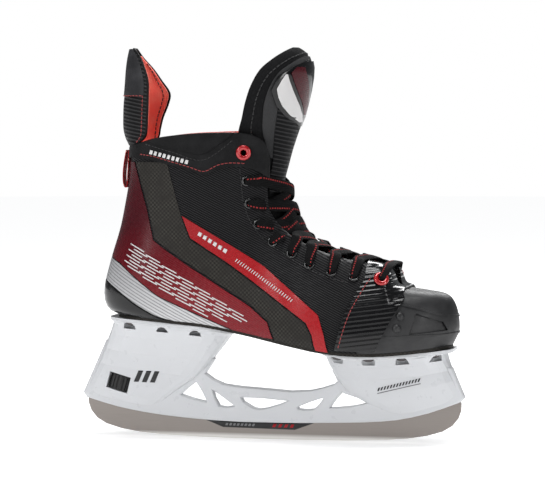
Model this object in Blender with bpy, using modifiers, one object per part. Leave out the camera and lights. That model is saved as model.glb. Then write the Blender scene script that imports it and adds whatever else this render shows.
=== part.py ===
"""A right-foot ice hockey skate: composite boot, felt tongue, tendon guard, laces, and a
plastic blade holder whose steel runner is drawn up by a thumb wheel in the rear tower.

Metres, +Z up, +X towards the toe, +Y towards the inner side of the foot. The origin is on
the ice line, in the middle of the runner's flat bottom edge. Lengths below are millimetres,
and MM turns them into metres where a mesh is made.
"""

import math

import bmesh
import bpy
import numpy as np
from mathutils import Matrix, Vector
from mathutils.bvhtree import BVHTree

MM = 0.001

# Driving dimensions.
SHELL_WALL = 3.0
SKIN_GAP = 0.4
BAND_GAP = 0.7
CUFF_WALL = 1.8
BAND_WALL = 1.7
LINER_WALL = 5.0
OUTSOLE_WALL = 2.6
SOLE_RISE = 3.3
FOOTBED_WALL = 4.5
TONGUE_WALL = 7.0
TONGUE_FOLD_Z = 258.0
RUNNER_WALL = 2.9
RUNNER_SUNK = 5.0
SLOT_WALL = 3.6
WEB_HALF = 4.8
LACE_RADIUS = 0.9
EYELET_BORE = 2.3
EYELET_BARREL = 2.9
EYELET_HOLE = 3.35
RIVET_SHANK = 2.3
RIVET_HEAD = 4.4

# The lock in the rear tower: its wheel's middle, and its axis, square to the holder's lip.
LOCK_X = -130.5
LOCK_Z = 45.5
LOCK_LEAN = math.radians(16.0)
WHEEL_RADIUS = 8.7
WHEEL_HALF = 6.3
WHEEL_TEETH = 18
BOLT_RADIUS = 2.2

# The boot's underside as (x, z): the face that the blade holder's plates bolt to.
BASE_LINE = [
    (-145, 102.5), (-125, 101.0), (-104, 99.5), (-84, 97.8), (-54, 95.0), (-32, 91.2),
    (-10, 87.0), (11, 82.7), (32, 79.0), (48, 76.2), (65, 74.6), (81, 73.8), (98, 74.0),
    (114, 75.0), (135, 77.0), (160, 80.0),
]
# The lip of the blade holder as (x, z): where the runner comes out of it.
LIP_LINE = [
    (-162, 34.0), (-148, 29.8), (-130, 25.1), (-104, 20.7), (-78, 17.9), (-52, 16.1),
    (-27, 15.2), (0, 15.2), (24, 15.4), (50, 16.1), (75, 17.1), (100, 19.0), (116, 21.9),
    (133, 26.4), (150, 32.6), (162, 37.5),
]
# The boot's outer surface, as ribs from the heel's middle round the outer side to the toe's
# middle: sole (x, half width), top edge (x, half width, z), how far the rib arches over
# instead of standing straight (0 to 1), how square the arch is, and its bulge near the sole.
RIBS = [
    ((-131, 0.0), (-119, 0.0, 243.0), 0.0, 1.0, 12.0),
    ((-128, 14.5), (-116.5, 14.0, 243.5), 0.0, 1.0, 11.0),
    ((-118, 25.0), (-108, 26.0, 245.5), 0.0, 1.0, 8.5),
    ((-103, 30.5), (-92, 35.0, 250.5), 0.0, 1.0, 6.5),
    ((-82, 31.5), (-68, 39.5, 254.0), 0.0, 1.0, 6.0),
    ((-55, 30.0), (-40, 40.0, 255.5), 0.0, 1.0, 5.5),
    ((-30, 29.5), (-14, 36.5, 254.5), 0.05, 1.0, 5.5),
    ((-12, 31.0), (1, 31.5, 246.0), 0.15, 1.0, 5.5),
    ((4, 34.5), (1.5, 28.5, 226.0), 0.3, 1.0, 5.5),
    ((17, 38.5), (-1, 26.5, 206.0), 0.5, 0.95, 5.0),
    ((29, 42.0), (4, 24.0, 188.5), 0.7, 0.95, 5.0),
    ((41, 45.0), (17, 22.0, 173.5), 0.85, 0.9, 4.5),
    ((53, 47.0), (33, 20.0, 163.5), 1.0, 0.9, 4.0),
    ((66, 48.0), (52, 19.0, 156.0), 1.0, 0.9, 4.0),
    ((79, 47.5), (72, 18.0, 151.0), 1.0, 0.85, 4.0),
    ((91, 46.0), (91, 17.0, 147.5), 1.0, 0.75, 4.0),
    ((100, 44.0), (101, 15.0, 143.0), 1.0, 0.65, 4.0),
    ((107, 42.0), (105, 8.0, 131.5), 1.0, 0.55, 4.5),
    ((118, 38.0), (110, 0.0, 128.0), 1.0, 0.48, 4.5),
    ((130, 31.5), (118, 0.0, 126.5), 1.0, 0.45, 5.0),
    ((141, 22.0), (124, 0.0, 125.5), 1.0, 0.43, 5.0),
    ((148.5, 11.5), (128, 0.0, 125.0), 1.0, 0.42, 5.0),
    ((151, 0.0), (130, 0.0, 124.7), 1.0, 0.42, 5.0),
]
# How much of a rib's bulge shows at each height above the sole.
BULGE_SHAPE = [
    (0, 0.0), (3, 0.6), (8, 0.92), (16, 1.1), (28, 1.06), (41, 0.86), (54, 0.62),
    (71, 0.3), (92, 0.08), (112, -0.06), (140, 0.0),
]
RIB_STEPS = [0.0, 0.035, 0.08, 0.16, 0.27, 0.40, 0.55, 0.70, 0.85, 1.0]
TOE_SHIFT = 4.0  # the forefoot curves towards the inner side of the foot

CAP_RECESS = [(121, 92.5), (125.5, 109.5), (146, 102), (149.5, 95)]
CAP_RECESS_DEPTH = 0.9

# Side outlines, (x, z), of the pieces that are cut from the boot's surface.
JOINT_LINE = [(76, 40), (79.5, 78), (88, 97), (96, 113), (102, 127), (105.5, 137), (107, 190)]
CUFF_OUTLINE = [
    (-150, 235), (-108, 234.5), (-95, 233), (-78, 229), (-61, 224.5), (-48, 220.5),
    (-38, 225.5), (-29, 227.5), (-15, 227.5), (-6.5, 225), (6, 217), (20, 222), (20, 280),
    (-150, 280),
]
BAND_OUTLINE = [
    (61.5, 79.4), (70, 110), (80.5, 130), (84.5, 137), (85, 165), (112, 165), (112, 138),
    (116, 122), (103, 97), (93.5, 78.4),
]
LINER_FRONT = [(36, 91), (24, 120), (-12, 150), (-28, 180), (-32, 215), (-30, 290), (-150, 290)]
LINER_LIFT = 10.0  # the liner's lower edge above the shell's bottom, clear of the footbed

# Eyelets from the toe up, (x, z). The first and last are the large red ones.
EYELETS = [
    (97.0, 136.0), (75.0, 138.5), (56.8, 142.5), (38.5, 148.5), (23.5, 157.2),
    (7.5, 166.5), (-5.0, 180.5), (-12.5, 197.5), (-14.5, 216.0), (-16.5, 239.3),
]
# The tongue's front along its middle, (x, z), from the toe up, and for the same points its
# half width and how far its edges fall back behind the middle.
TONGUE_LINE = [
    (97, 140.5), (86, 143.5), (73, 146), (57, 149.5), (47, 152.3), (37, 156.5), (27.5, 162.5),
    (19.5, 173), (14.0, 184.5), (10.2, 197), (8.4, 208), (9.0, 218), (12, 229), (15.5, 242),
    (20.5, 257), (24, 267), (27.5, 280), (30.5, 294), (32, 307), (30.5, 316), (27, 322),
    (22, 325.5),
]
TONGUE_HALF = [
    18, 22, 25, 27, 28, 28, 27.5, 26.5, 26, 26, 26, 26, 26.5, 28, 33, 37, 40, 41, 40, 34, 24, 9,
]
TONGUE_DEPTH = [
    9, 12, 15, 18, 20, 22, 24, 27, 30, 33, 35, 37, 38, 40, 42, 42, 42, 40, 34, 23, 12, 3,
]

# The runner's lower edge on the toe side; the heel side mirrors it.
RUNNER_EDGE = [
    (30, 0.0), (62, 0.5), (96, 1.8), (114, 3.5), (130, 6.2), (143, 10.0), (151, 14.8),
    (156, 21.0), (158.3, 27.5), (158.5, 33.5),
]
# Windows in the holder's bridge, (x, z).
BRIDGE_WINDOWS = [
    [(-77.5, 37.5), (-67, 46.4), (-63, 46.6), (-55, 32.4), (-57.5, 29.6), (-77.5, 35)],
    [(-51.5, 40.2), (-48.5, 40.2), (-31.8, 28.8), (-33, 26.4), (-45.5, 26.3)],
    [(-27.5, 35.6), (12.5, 33.7), (13.3, 31.5), (-4, 25.4), (-16, 25.4)],
    [(21.6, 26.6), (22.6, 29.0), (41.6, 36.3), (44.4, 34.8), (36, 25.4), (22.6, 25.2)],
    [(48.6, 28.4), (58.6, 41.2), (62, 40.8), (80.4, 34.6), (80.4, 31.6), (67, 28.4), (49.6, 26.8)],
]
REAR_RIVETS_X = (-116, -88, -60)
FRONT_RIVETS_X = (59, 85, 112, 138)
REAR_RIVETS_Y = 21.0
FRONT_RIVETS_Y = (25.0, 26.0, 24.0, 17.5)
POCKET_RADIUS = 5.8
POCKET_DEPTH = 5.5


# ---------------------------------------------------------------- lines and outlines


def smooth(points, per_span=6, closed=False):
    """Points of a Catmull-Rom curve through these points, of any dimension."""
    p = np.array(points, float)
    n = len(p)
    spans = n if closed else n - 1
    made = []
    for i in range(spans):
        if closed:
            a, b, c, d = p[(i - 1) % n], p[i], p[(i + 1) % n], p[(i + 2) % n]
        else:
            a, b, c, d = p[max(i - 1, 0)], p[i], p[i + 1], p[min(i + 2, n - 1)]
        for k in range(per_span):
            t = k / per_span
            made.append(
                0.5 * (2 * b + (c - a) * t + (2 * a - 5 * b + 4 * c - d) * t**2
                       + (3 * b - a - 3 * c + d) * t**3)
            )
    if not closed:
        made.append(p[-1])
    return np.array(made)


LIP_SMOOTH = smooth(LIP_LINE)


def base_z(x):
    """Height of the boot's underside."""
    return float(np.interp(x, *zip(*BASE_LINE)))


def sole_z(x):
    """Height of the shell's bottom, above the outsole."""
    return base_z(x) + SOLE_RISE


def lip_z(x):
    """Height of the holder's lip."""
    return float(np.interp(x, LIP_SMOOTH[:, 0], LIP_SMOOTH[:, 1]))


def toe_shift(x):
    """How far the foot's middle lies to the inner side at x."""
    t = min(max((x - 30.0) / 110.0, 0.0), 1.0)
    return TOE_SHIFT * t * t * (3 - 2 * t)


# ---------------------------------------------------------------- objects


def link(obj, folder):
    folder.objects.link(obj)
    return obj


def material(name, colour, roughness, metallic=0.0):
    made = bpy.data.materials.new(name)
    made.use_nodes = True
    shader = made.node_tree.nodes["Principled BSDF"]
    shader.inputs["Base Color"].default_value = (*colour, 1.0)
    shader.inputs["Roughness"].default_value = roughness
    shader.inputs["Metallic"].default_value = metallic
    return made


def from_bmesh(name, bm, folder, mat=None):
    """A mesh object from a bmesh in millimetres."""
    bmesh.ops.remove_doubles(bm, verts=bm.verts, dist=0.01)
    bmesh.ops.scale(bm, vec=(MM, MM, MM), verts=bm.verts)
    mesh = bpy.data.meshes.new(name)
    bm.to_mesh(mesh)
    bm.free()
    if mat:
        mesh.materials.append(mat)
    mesh.shade_smooth()
    mesh.set_sharp_from_angle(angle=math.radians(35))
    return link(bpy.data.objects.new(name, mesh), folder)


def thicken(obj, wall, outward=False):
    """Turns an open surface whose normals point out into a wall."""
    shell = obj.modifiers.new("wall", "SOLIDIFY")
    shell.thickness = wall * MM
    shell.offset = 1.0 if outward else -1.0
    return obj


def boolean(obj, other, operation):
    cut = obj.modifiers.new(operation.lower(), "BOOLEAN")
    cut.object = other
    cut.operation = operation
    cut.solver = "EXACT"
    return obj


def helper(obj):
    """Marks a cutter, which isn't a part."""
    obj.hide_render = True
    obj.display_type = "WIRE"
    return obj


def plate(name, outlines, half, folder, mat=None, bevel=0.0, at=(0, 0, 0), turn=None):
    """A side-view outline in X and Z, with any windows, as a plate of that half thickness in Y.
    It is made as a 2D curve and turned into a closed mesh."""
    curve = bpy.data.curves.new(name, "CURVE")
    curve.dimensions = "2D"
    curve.fill_mode = "BOTH"
    curve.extrude = (half - bevel) * MM
    curve.bevel_depth = bevel * MM
    curve.bevel_resolution = 0
    for outline in outlines:
        spline = curve.splines.new("POLY")
        spline.points.add(len(outline) - 1)
        for point, (x, z) in zip(spline.points, outline):
            point.co = (x * MM, z * MM, 0.0, 1.0)
        spline.use_cyclic_u = True
    drawn = bpy.data.objects.new(name + "_outline", curve)
    bpy.context.scene.collection.objects.link(drawn)
    stand = Matrix.Rotation(math.pi / 2, 4, "X") if turn is None else turn
    drawn.matrix_world = Matrix.Translation(Vector(at) * MM) @ stand
    bpy.context.view_layer.update()
    graph = bpy.context.evaluated_depsgraph_get()
    mesh = bpy.data.meshes.new_from_object(drawn.evaluated_get(graph))
    mesh.name = name
    bm = bmesh.new()
    bm.from_mesh(mesh)
    bmesh.ops.remove_doubles(bm, verts=bm.verts, dist=1e-6)
    bmesh.ops.recalc_face_normals(bm, faces=bm.faces)
    bm.to_mesh(mesh)
    bm.free()
    solid = bpy.data.objects.new(name, mesh)
    solid.matrix_world = drawn.matrix_world.copy()
    bpy.data.objects.remove(drawn)
    if mat:
        mesh.materials.append(mat)
    return link(solid, folder)


def turned(name, profile, steps, folder, mat=None):
    """A turned piece from a (radius, height) profile, by a Screw modifier about Z. A profile
    that starts away from the axis is closed into a ring."""
    bm = bmesh.new()
    verts = [bm.verts.new((r * MM, 0.0, z * MM)) for r, z in profile]
    for a, b in zip(verts, verts[1:] + (verts[:1] if profile[0][0] else [])):
        bm.edges.new((a, b))
    mesh = bpy.data.meshes.new(name)
    bm.to_mesh(mesh)
    bm.free()
    if mat:
        mesh.materials.append(mat)
    ring = link(bpy.data.objects.new(name, mesh), folder)
    screw = ring.modifiers.new("turn", "SCREW")
    screw.steps = steps
    screw.render_steps = steps
    screw.use_merge_vertices = True
    screw.merge_threshold = 1e-5
    screw.use_smooth_shade = True
    return ring


def rod(name, radius, low, high, sides, folder, mat=None):
    """A round bar along Z, from low to high."""
    bm = bmesh.new()
    bmesh.ops.create_cone(
        bm, cap_ends=True, segments=sides, radius1=radius, radius2=radius, depth=high - low
    )
    bmesh.ops.translate(bm, vec=(0, 0, (high + low) / 2), verts=bm.verts)
    return from_bmesh(name, bm, folder, mat)


def facing(normal):
    """The rotation that turns +Z to this direction."""
    return Vector(normal).to_track_quat("Z", "Y").to_matrix().to_4x4()


# ---------------------------------------------------------------- the boot's surface


def rib_point(rib, step):
    """A point of one rib on the outer side, before the toe's shift: x, half width, z."""
    (sx, sy), (tx, ty, tz), arch, square, bulge = rib
    sz = sole_z(sx)
    angle = step * math.pi / 2
    over = math.cos(angle) ** square if step < 1 else 0.0
    up = math.sin(angle) ** square
    across = (1 - arch) * (1 - step) + arch * over
    rise = (1 - arch) * step + arch * up
    x = tx + (sx - tx) * across
    y = ty + (sy - ty) * across
    z = sz + (tz - sz) * rise
    heights, shares = zip(*BULGE_SHAPE)
    out = bulge * float(np.interp(z - sz, heights, shares))
    if arch > 0.5:
        out *= 1 - step
    middle = min(max(sx, -100.0), 104.0)
    away = Vector(((sx - middle) * 1.0, sy if abs(sx - middle) < 1e-6 else sy * 0.9, 0.0))
    away.normalize()
    return x + away.x * out, y + away.y * out, z


def boot_surface(offset=0.0):
    """The boot's outer surface as a bmesh, open along the collar and the throat. Offset moves it
    along its normals."""
    bm = bmesh.new()
    rows = []
    for side in (-1, 1):
        columns = []
        for rib in RIBS:
            column = []
            for step in RIB_STEPS:
                x, y, z = rib_point(rib, step)
                column.append(bm.verts.new((x, side * y + toe_shift(x), z)))
            columns.append(column)
        rows.append(columns)
    for side, columns in zip((-1, 1), rows):
        for left, right in zip(columns, columns[1:]):
            for k in range(len(RIB_STEPS) - 1):
                quad = [left[k], right[k], right[k + 1], left[k + 1]]
                bm.faces.new(quad if side < 0 else quad[::-1])
    shares = (1.0, 0.55, 0.0, -0.55, -1.0)
    for i in range(len(RIBS) - 1):
        strip = []
        for j in (i, i + 1):
            x, half = RIBS[j][0]
            strip.append([bm.verts.new((x, -share * half + toe_shift(x), sole_z(x))) for share in shares])
        for k in range(len(shares) - 1):
            corners = [strip[0][k], strip[0][k + 1], strip[1][k + 1], strip[1][k]]
            bm.faces.new(corners)
    bmesh.ops.remove_doubles(bm, verts=bm.verts, dist=0.01)
    flat = [f for f in bm.faces if f.calc_area() < 1e-6]
    bmesh.ops.delete(bm, geom=flat, context="FACES")
    bmesh.ops.triangulate(bm, faces=bm.faces, quad_method="FIXED")
    bmesh.ops.recalc_face_normals(bm, faces=bm.faces)
    if sum(f.normal.y * f.calc_center_median().y for f in bm.faces) < 0:
        bmesh.ops.reverse_faces(bm, faces=bm.faces)
    bm.normal_update()
    if offset:
        moves = [(v, v.normal.copy()) for v in bm.verts]
        for v, normal in moves:
            v.co += normal * offset
    return bm


def boot_wall(name, offset, wall, outward, outline, folder, mat, operation="INTERSECT"):
    """A piece of the boot: a wall on the boot's surface, kept inside (or cut by) a side outline."""
    piece = from_bmesh(name, boot_surface(offset), folder, mat)
    thicken(piece, wall, outward)
    if outline:
        cutter = helper(plate(name + "_cutter", [outline], 120.0, CUTTERS))
        boolean(piece, cutter, operation)
    return piece


def surface_tree():
    return BVHTree.FromBMesh(boot_surface())


def on_surface(tree, x, z, side):
    """Where a line along Y meets the boot's outer or inner side, and the normal there."""
    start = Vector((x, side * 200.0, z))
    place, normal, _, _ = tree.ray_cast(start, Vector((0, -side, 0)))
    if normal.y * side < 0:
        normal = -normal
    return place, normal


# ---------------------------------------------------------------- the boot's pieces


def ahead_of_joint(gap):
    """The side outline of everything in front of the joint between shell and toe cap."""
    line = smooth(JOINT_LINE, 3)
    return [(x + gap, z) for x, z in line] + [(200, 190), (200, 40)]


def liner_outline():
    """The side outline of the ankle liner, down to just above the footbed."""
    lower = [(x, sole_z(x) + LINER_LIFT) for x in np.linspace(-150, 34, 12)]
    return lower + LINER_FRONT


def make_outsole(folder, mat):
    """A thin plate between the shell and the blade holder."""
    bm = bmesh.new()
    shares = (1.0, 0.55, 0.0, -0.55, -1.0)
    grid = []
    for (x, half), *_ in RIBS:
        grid.append([
            bm.verts.new((x, -share * max(half - 0.6, 0) + toe_shift(x), sole_z(x) - 0.35))
            for share in shares
        ])
    for left, right in zip(grid, grid[1:]):
        for k in range(len(shares) - 1):
            bm.faces.new([left[k], left[k + 1], right[k + 1], right[k]])
    bmesh.ops.remove_doubles(bm, verts=bm.verts, dist=0.7)
    bmesh.ops.recalc_face_normals(bm, faces=bm.faces)
    if sum(f.normal.z for f in bm.faces) < 0:
        bmesh.ops.reverse_faces(bm, faces=bm.faces)
    return thicken(from_bmesh("outsole", bm, folder, mat), OUTSOLE_WALL)


def make_footbed(folder, mat):
    """The removable insole: it lies on the shell's bottom, clear of its walls."""
    bm = bmesh.new()
    shares = (1.0, 0.5, 0.0, -0.5, -1.0)
    grid = []
    for (x, half), *_ in RIBS[1:-1]:
        inset = 2.2
        place = x + inset * (1 if x < -100 else -1 if x > 115 else 0)
        half = max(half - inset, 1.0)
        low = sole_z(place) + SHELL_WALL + 0.5
        grid.append([
            bm.verts.new((place, -share * half + toe_shift(place), low + FOOTBED_WALL))
            for share in shares
        ])
    for left, right in zip(grid, grid[1:]):
        for k in range(len(shares) - 1):
            bm.faces.new([left[k], left[k + 1], right[k + 1], right[k]])
    bmesh.ops.recalc_face_normals(bm, faces=bm.faces)
    if sum(f.normal.z for f in bm.faces) < 0:
        bmesh.ops.reverse_faces(bm, faces=bm.faces)
    return thicken(from_bmesh("footbed", bm, folder, mat), FOOTBED_WALL)


def tongue_stations():
    """(middle point, inward direction, half width, depth) down the tongue's length."""
    line = smooth(TONGUE_LINE, 1)
    made = []
    for i, (x, z) in enumerate(line):
        before, after = line[max(i - 1, 0)], line[min(i + 1, len(line) - 1)]
        along = Vector((after[0] - before[0], after[1] - before[1])).normalized()
        inward = Vector((-along.y, along.x))
        if z > TONGUE_FOLD_Z - 3:
            inward = Vector((-1.0, 0.0))
        made.append((Vector((x, z)), inward, TONGUE_HALF[i], TONGUE_DEPTH[i]))
    return made


def tongue_point(station, u):
    """A point on the tongue's front, u from -1 on the outer side to 1 on the inner side."""
    middle, inward, half, depth = station
    angle = u * math.pi / 2
    back = depth * (1 - math.cos(angle))
    flat = middle + inward * back
    return Vector((flat.x, half * math.sin(angle) + toe_shift(flat.x), flat.y))


def make_tongue(name, stations, folder, mat):
    bm = bmesh.new()
    across = [-1.0, -0.72, -0.48, -0.24, 0.0, 0.24, 0.48, 0.72, 1.0]
    grid = [[bm.verts.new(tongue_point(s, u)) for u in across] for s in stations]
    for low, high in zip(grid, grid[1:]):
        for k in range(len(across) - 1):
            bm.faces.new([low[k], low[k + 1], high[k + 1], high[k]])
    bmesh.ops.recalc_face_normals(bm, faces=bm.faces)
    if sum(f.normal.x for f in bm.faces) < 0:
        bmesh.ops.reverse_faces(bm, faces=bm.faces)
    return thicken(from_bmesh(name, bm, folder, mat), TONGUE_WALL)


# The badge on the tongue's front: (z, how far it reaches to each side as a share of the front).
PATCH_ROWS = [(263, 0.08), (270, 0.3), (280, 0.47), (291, 0.5), (300, 0.42), (308, 0.3), (314, 0.1)]


def make_tongue_patch(stations, folder, mat):
    """A thin badge that follows the tongue's front."""
    heights = [s[0].y for s in stations]
    bm = bmesh.new()
    grid = []
    for z, reach in PATCH_ROWS:
        i = max(k for k in range(len(heights) - 1) if heights[k] <= z)
        t = (z - heights[i]) / (heights[i + 1] - heights[i])
        row = []
        for u in (-1.0, -0.5, 0.0, 0.5, 1.0):
            place = tongue_point(stations[i], u * reach).lerp(
                tongue_point(stations[i + 1], u * reach), t
            )
            row.append(bm.verts.new(place + Vector((1.5, 0.0, 0.0))))
        grid.append(row)
    for low, high in zip(grid, grid[1:]):
        for k in range(4):
            bm.faces.new([low[k], low[k + 1], high[k + 1], high[k]])
    bmesh.ops.recalc_face_normals(bm, faces=bm.faces)
    if sum(f.normal.x for f in bm.faces) < 0:
        bmesh.ops.reverse_faces(bm, faces=bm.faces)
    return thicken(from_bmesh("tongue_patch", bm, folder, mat), 1.6, True)


# The tendon guard's rows, from its root up: (z, x of the back, half width, x of the outer wing's
# front edge, x of the inner wing's, how far the row rises towards its wings).
GUARD_ROWS = [
    (244.4, -121.6, 27.0, -108.0, -108.0, 2.6),
    (250.5, -125.0, 28.5, -102.5, -105.0, 1.5),
    (258.0, -127.0, 29.0, -101.0, -104.0, 0.0),
    (268.0, -127.2, 29.0, -100.5, -101.5, 0.0),
    (279.0, -126.8, 29.0, -100.0, -97.0, 0.0),
    (288.0, -125.8, 28.5, -100.0, -95.5, 0.0),
    (298.0, -125.0, 27.0, -100.5, -102.0, 0.0),
    (308.0, -124.2, 24.0, -104.0, -108.5, 0.0),
    (317.0, -123.0, 18.5, -109.0, -115.5, 0.0),
    (324.5, -121.4, 10.0, -116.5, -118.8, 0.0),
]


def guard_point(row, u, inset):
    """A point round the guard, u from -1 (outer wing) to 1 (inner wing)."""
    z, back, half, outer, inner, rise = row
    reach = (outer if u < 0 else inner) - back
    angle = abs(u) * math.pi / 2
    x = back + inset + (reach - inset * 0.4) * (1 - math.cos(angle)) ** 0.9
    y = (half - inset) * math.sin(angle) * (1 if u > 0 else -1)
    return Vector((x, y, z + rise * (1 - math.cos(angle))))


def make_guard(name, inset, wall, rows, reach, folder, mat):
    bm = bmesh.new()
    across = [-1.0, -0.8, -0.6, -0.4, -0.2, 0.0, 0.2, 0.4, 0.6, 0.8, 1.0]
    grid = [[bm.verts.new(guard_point(r, u * reach, inset)) for u in across] for r in rows]
    for low, high in zip(grid, grid[1:]):
        for k in range(len(across) - 1):
            bm.faces.new([low[k], low[k + 1], high[k + 1], high[k]])
    bmesh.ops.recalc_face_normals(bm, faces=bm.faces)
    if sum(f.normal.x for f in bm.faces) > 0:
        bmesh.ops.reverse_faces(bm, faces=bm.faces)
    return thicken(from_bmesh(name, bm, folder, mat), wall)


def make_heel_tab(folder, mat):
    """A folded pull tab behind the collar."""
    outline = [
        (-125.2, 240), (-122.6, 240), (-121.9, 216), (-122.6, 211), (-124.8, 211), (-126.1, 216),
    ]
    return plate("heel_pull_tab", [outline], 5.0, folder, mat)


# ---------------------------------------------------------------- eyelets, rivets, lace


def eyelet_profile(big, deep):
    """(radius, height) round an eyelet: a barrel through the wall under a rounded rim."""
    rim = 6.3 if big else 4.3
    top = 2.2 if big else 1.5
    foot = 0.6
    return [
        (EYELET_BORE, -deep), (EYELET_BORE, top * 0.6), ((EYELET_BORE + rim) / 2, top),
        (rim, foot), (EYELET_BARREL, foot), (EYELET_BARREL, -deep),
    ]


def make_eyelets(tree, folder, black, red):
    """One eyelet at each place on both sides. Returns (place, normal, lift) for the lace."""
    seats = {-1: [], 1: []}
    last = len(EYELETS) - 1
    for side, word in ((-1, "outer"), (1, "inner")):
        for k, (x, z) in enumerate(EYELETS):
            place, normal = on_surface(tree, x, z, side)
            big = k in (0, last)
            lift = {0: BAND_GAP + BAND_WALL, 6: 0.5, last: SKIN_GAP + CUFF_WALL}.get(k, 0.0)
            ring = turned(
                f"eyelet_{word}_{k + 1:02d}",
                eyelet_profile(big, SHELL_WALL + lift + 0.3),
                12 if big else 8,
                folder,
                red if big else black,
            )
            ring.matrix_world = Matrix.Translation((place + normal * lift) * MM) @ facing(normal)
            seats[side].append((place, normal, lift))
    return seats


def eyelet_cutters(seats, side_and_index):
    """One mesh holding the round cutters of these eyelets."""
    bm = bmesh.new()
    for side, k in side_and_index:
        place, normal, lift = seats[side][k]
        found = bmesh.ops.create_cone(
            bm, cap_ends=True, segments=8, radius1=EYELET_HOLE, radius2=EYELET_HOLE, depth=16.0
        )
        spin = Matrix.Translation(place) @ facing(normal)
        bmesh.ops.transform(bm, matrix=spin, verts=found["verts"])
    return helper(from_bmesh("eyelet_holes", bm, CUTTERS))


def throat_edge(tree, k, side, above):
    """The place on the throat's edge next to eyelet k, this far above the shell."""
    x, z = EYELETS[k]
    tops = [Vector(rib_point(rib, 1.0)) for rib in RIBS[7:17]]
    edges = [low.lerp(high, t) for low, high in zip(tops, tops[1:]) for t in (0, 0.25, 0.5, 0.75)]
    edge = min(edges, key=lambda e: abs(e.x - x) + abs(e.z - z))
    edge = Vector((edge.x, side * edge.y + toe_shift(edge.x), edge.z))
    seat, seat_normal = on_surface(tree, x, z, side)
    _, edge_normal, _, _ = tree.find_nearest(edge.lerp(seat, 0.15))
    normal = (seat_normal + edge_normal).normalized()
    return edge + normal * above + (edge - seat).normalized() * 1.2


def lace_route(tree, seats, stations):
    """The lace's middle line: from inside one top eyelet, crossing down to the toe and back up
    to the other top eyelet. It goes into every eyelet from outside."""
    points = [s[0] for s in stations]

    def front(x, z, above):
        """The place in front of the tongue's middle, next to a side-view place."""
        near = min(range(1, len(points) - 1), key=lambda i: (points[i] - Vector((x, z))).length)
        along = (points[near + 1] - points[near - 1]).normalized()
        foot = points[near] + along * (Vector((x, z)) - points[near]).dot(along)
        flat = foot - stations[near][1] * above
        return Vector((flat.x, toe_shift(flat.x), flat.y))

    def through(side, k):
        place, normal, lift = seats[side][k]
        inside = -(SHELL_WALL + 2.4)
        return [place + normal * (lift + 4.6), place + normal * inside]

    def over(start, end, lift):
        """Places between these that hug the shell's outside."""
        made = []
        for t in (0.25, 0.5, 0.8):
            place, normal, _, _ = tree.find_nearest(start.lerp(end, t))
            made.append(place + normal * (lift + 3.0))
        return made

    def crossing(k, side):
        """From inside eyelet k on one side to outside eyelet k + 1 on the other."""
        leave = throat_edge(tree, k, side, -(SHELL_WALL + 1.3))
        arch = (0, 0, 0, 0, 1.0, 2.2, 3.6, 1.6)[k]  # the throat's edge is sharper higher up
        enter = throat_edge(tree, k + 1, -side, 3.2 + arch)
        x, z = (leave.x + enter.x) / 2, (leave.z + enter.z) / 2
        hugging = over(enter, through(-side, k + 1)[0], arch)
        return [leave, front(x, z, 7.4 if side < 0 else 9.8), enter, *hugging]

    def climb(side):
        """From outside the toe eyelet on this side up to inside the last laced eyelet."""
        route = through(side, 0)
        for k in range(len(EYELETS) - 2):
            route += crossing(k, side)
            side = -side
            route += through(side, k + 1)
        return route

    bar = []
    for side in (-1, 1):
        lift = seats[side][0][2]
        edge = throat_edge(tree, 0, side, lift + 3.4)
        half = over(through(side, 0)[0], edge, lift + 0.8) + [edge]
        bar += half if side < 0 else half[::-1]
    return climb(-1)[::-1] + bar + climb(1)


def make_lace(name, route, folder, mat):
    curve = bpy.data.curves.new(name, "CURVE")
    curve.dimensions = "3D"
    curve.bevel_depth = LACE_RADIUS * MM
    curve.bevel_resolution = 1
    curve.use_fill_caps = True
    spline = curve.splines.new("POLY")
    spline.points.add(len(route) - 1)
    for point, place in zip(spline.points, route):
        point.co = (*(Vector(place) * MM), 1.0)
    curve.materials.append(mat)
    return link(bpy.data.objects.new(name, curve), folder)


def rivet_places():
    """(x, y) of the rivets that hold the blade holder on, rear plate first."""
    places = [(x, side * REAR_RIVETS_Y) for x in REAR_RIVETS_X for side in (-1, 1)]
    for x, half in zip(FRONT_RIVETS_X, FRONT_RIVETS_Y):
        places += [(x, side * half + toe_shift(x)) for side in (-1, 1)]
    return places


def make_rivets(folder, mat):
    """A headed pin through the holder's plate and the outsole at each place."""
    profile = [
        (0.0, 5.6), (RIVET_SHANK, 5.6), (RIVET_SHANK, 0.0), (RIVET_HEAD, 0.0),
        (RIVET_HEAD, -0.9), (RIVET_HEAD * 0.6, -1.7), (0.0, -1.9),
    ]
    made = []
    for i, (x, y) in enumerate(rivet_places()):
        word = "rear" if x < 0 else "front"
        count = i + 1 if x < 0 else i + 1 - 2 * len(REAR_RIVETS_X)
        pin = turned(f"rivet_{word}_{count}", profile, 8, folder, mat)
        low = base_z(x) - PLATE_WALL - 0.4
        slope = math.atan2(base_z(x + 4) - base_z(x - 4), 8.0)
        pin.matrix_world = Matrix.Translation(Vector((x, y, low)) * MM) @ Matrix.Rotation(-slope, 4, "Y")
        made.append(pin)
    return made


def lathe(bm, profile, sides, place):
    """Adds a solid of revolution to a bmesh. Its profile starts and ends on the axis."""
    rings = []
    for r, z in profile:
        if r == 0:
            rings.append([bm.verts.new((0, 0, z))] * sides)
        else:
            rings.append([
                bm.verts.new((r * math.cos(2 * math.pi * i / sides), r * math.sin(2 * math.pi * i / sides), z))
                for i in range(sides)
            ])
    for above, below in zip(rings, rings[1:]):
        for i in range(sides):
            j = (i + 1) % sides
            corners = [above[i], below[i], below[j], above[j]]
            bm.faces.new(list(dict.fromkeys(corners)))
    made = {v for ring in rings for v in ring}
    bmesh.ops.transform(bm, matrix=place, verts=list(made))


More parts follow.
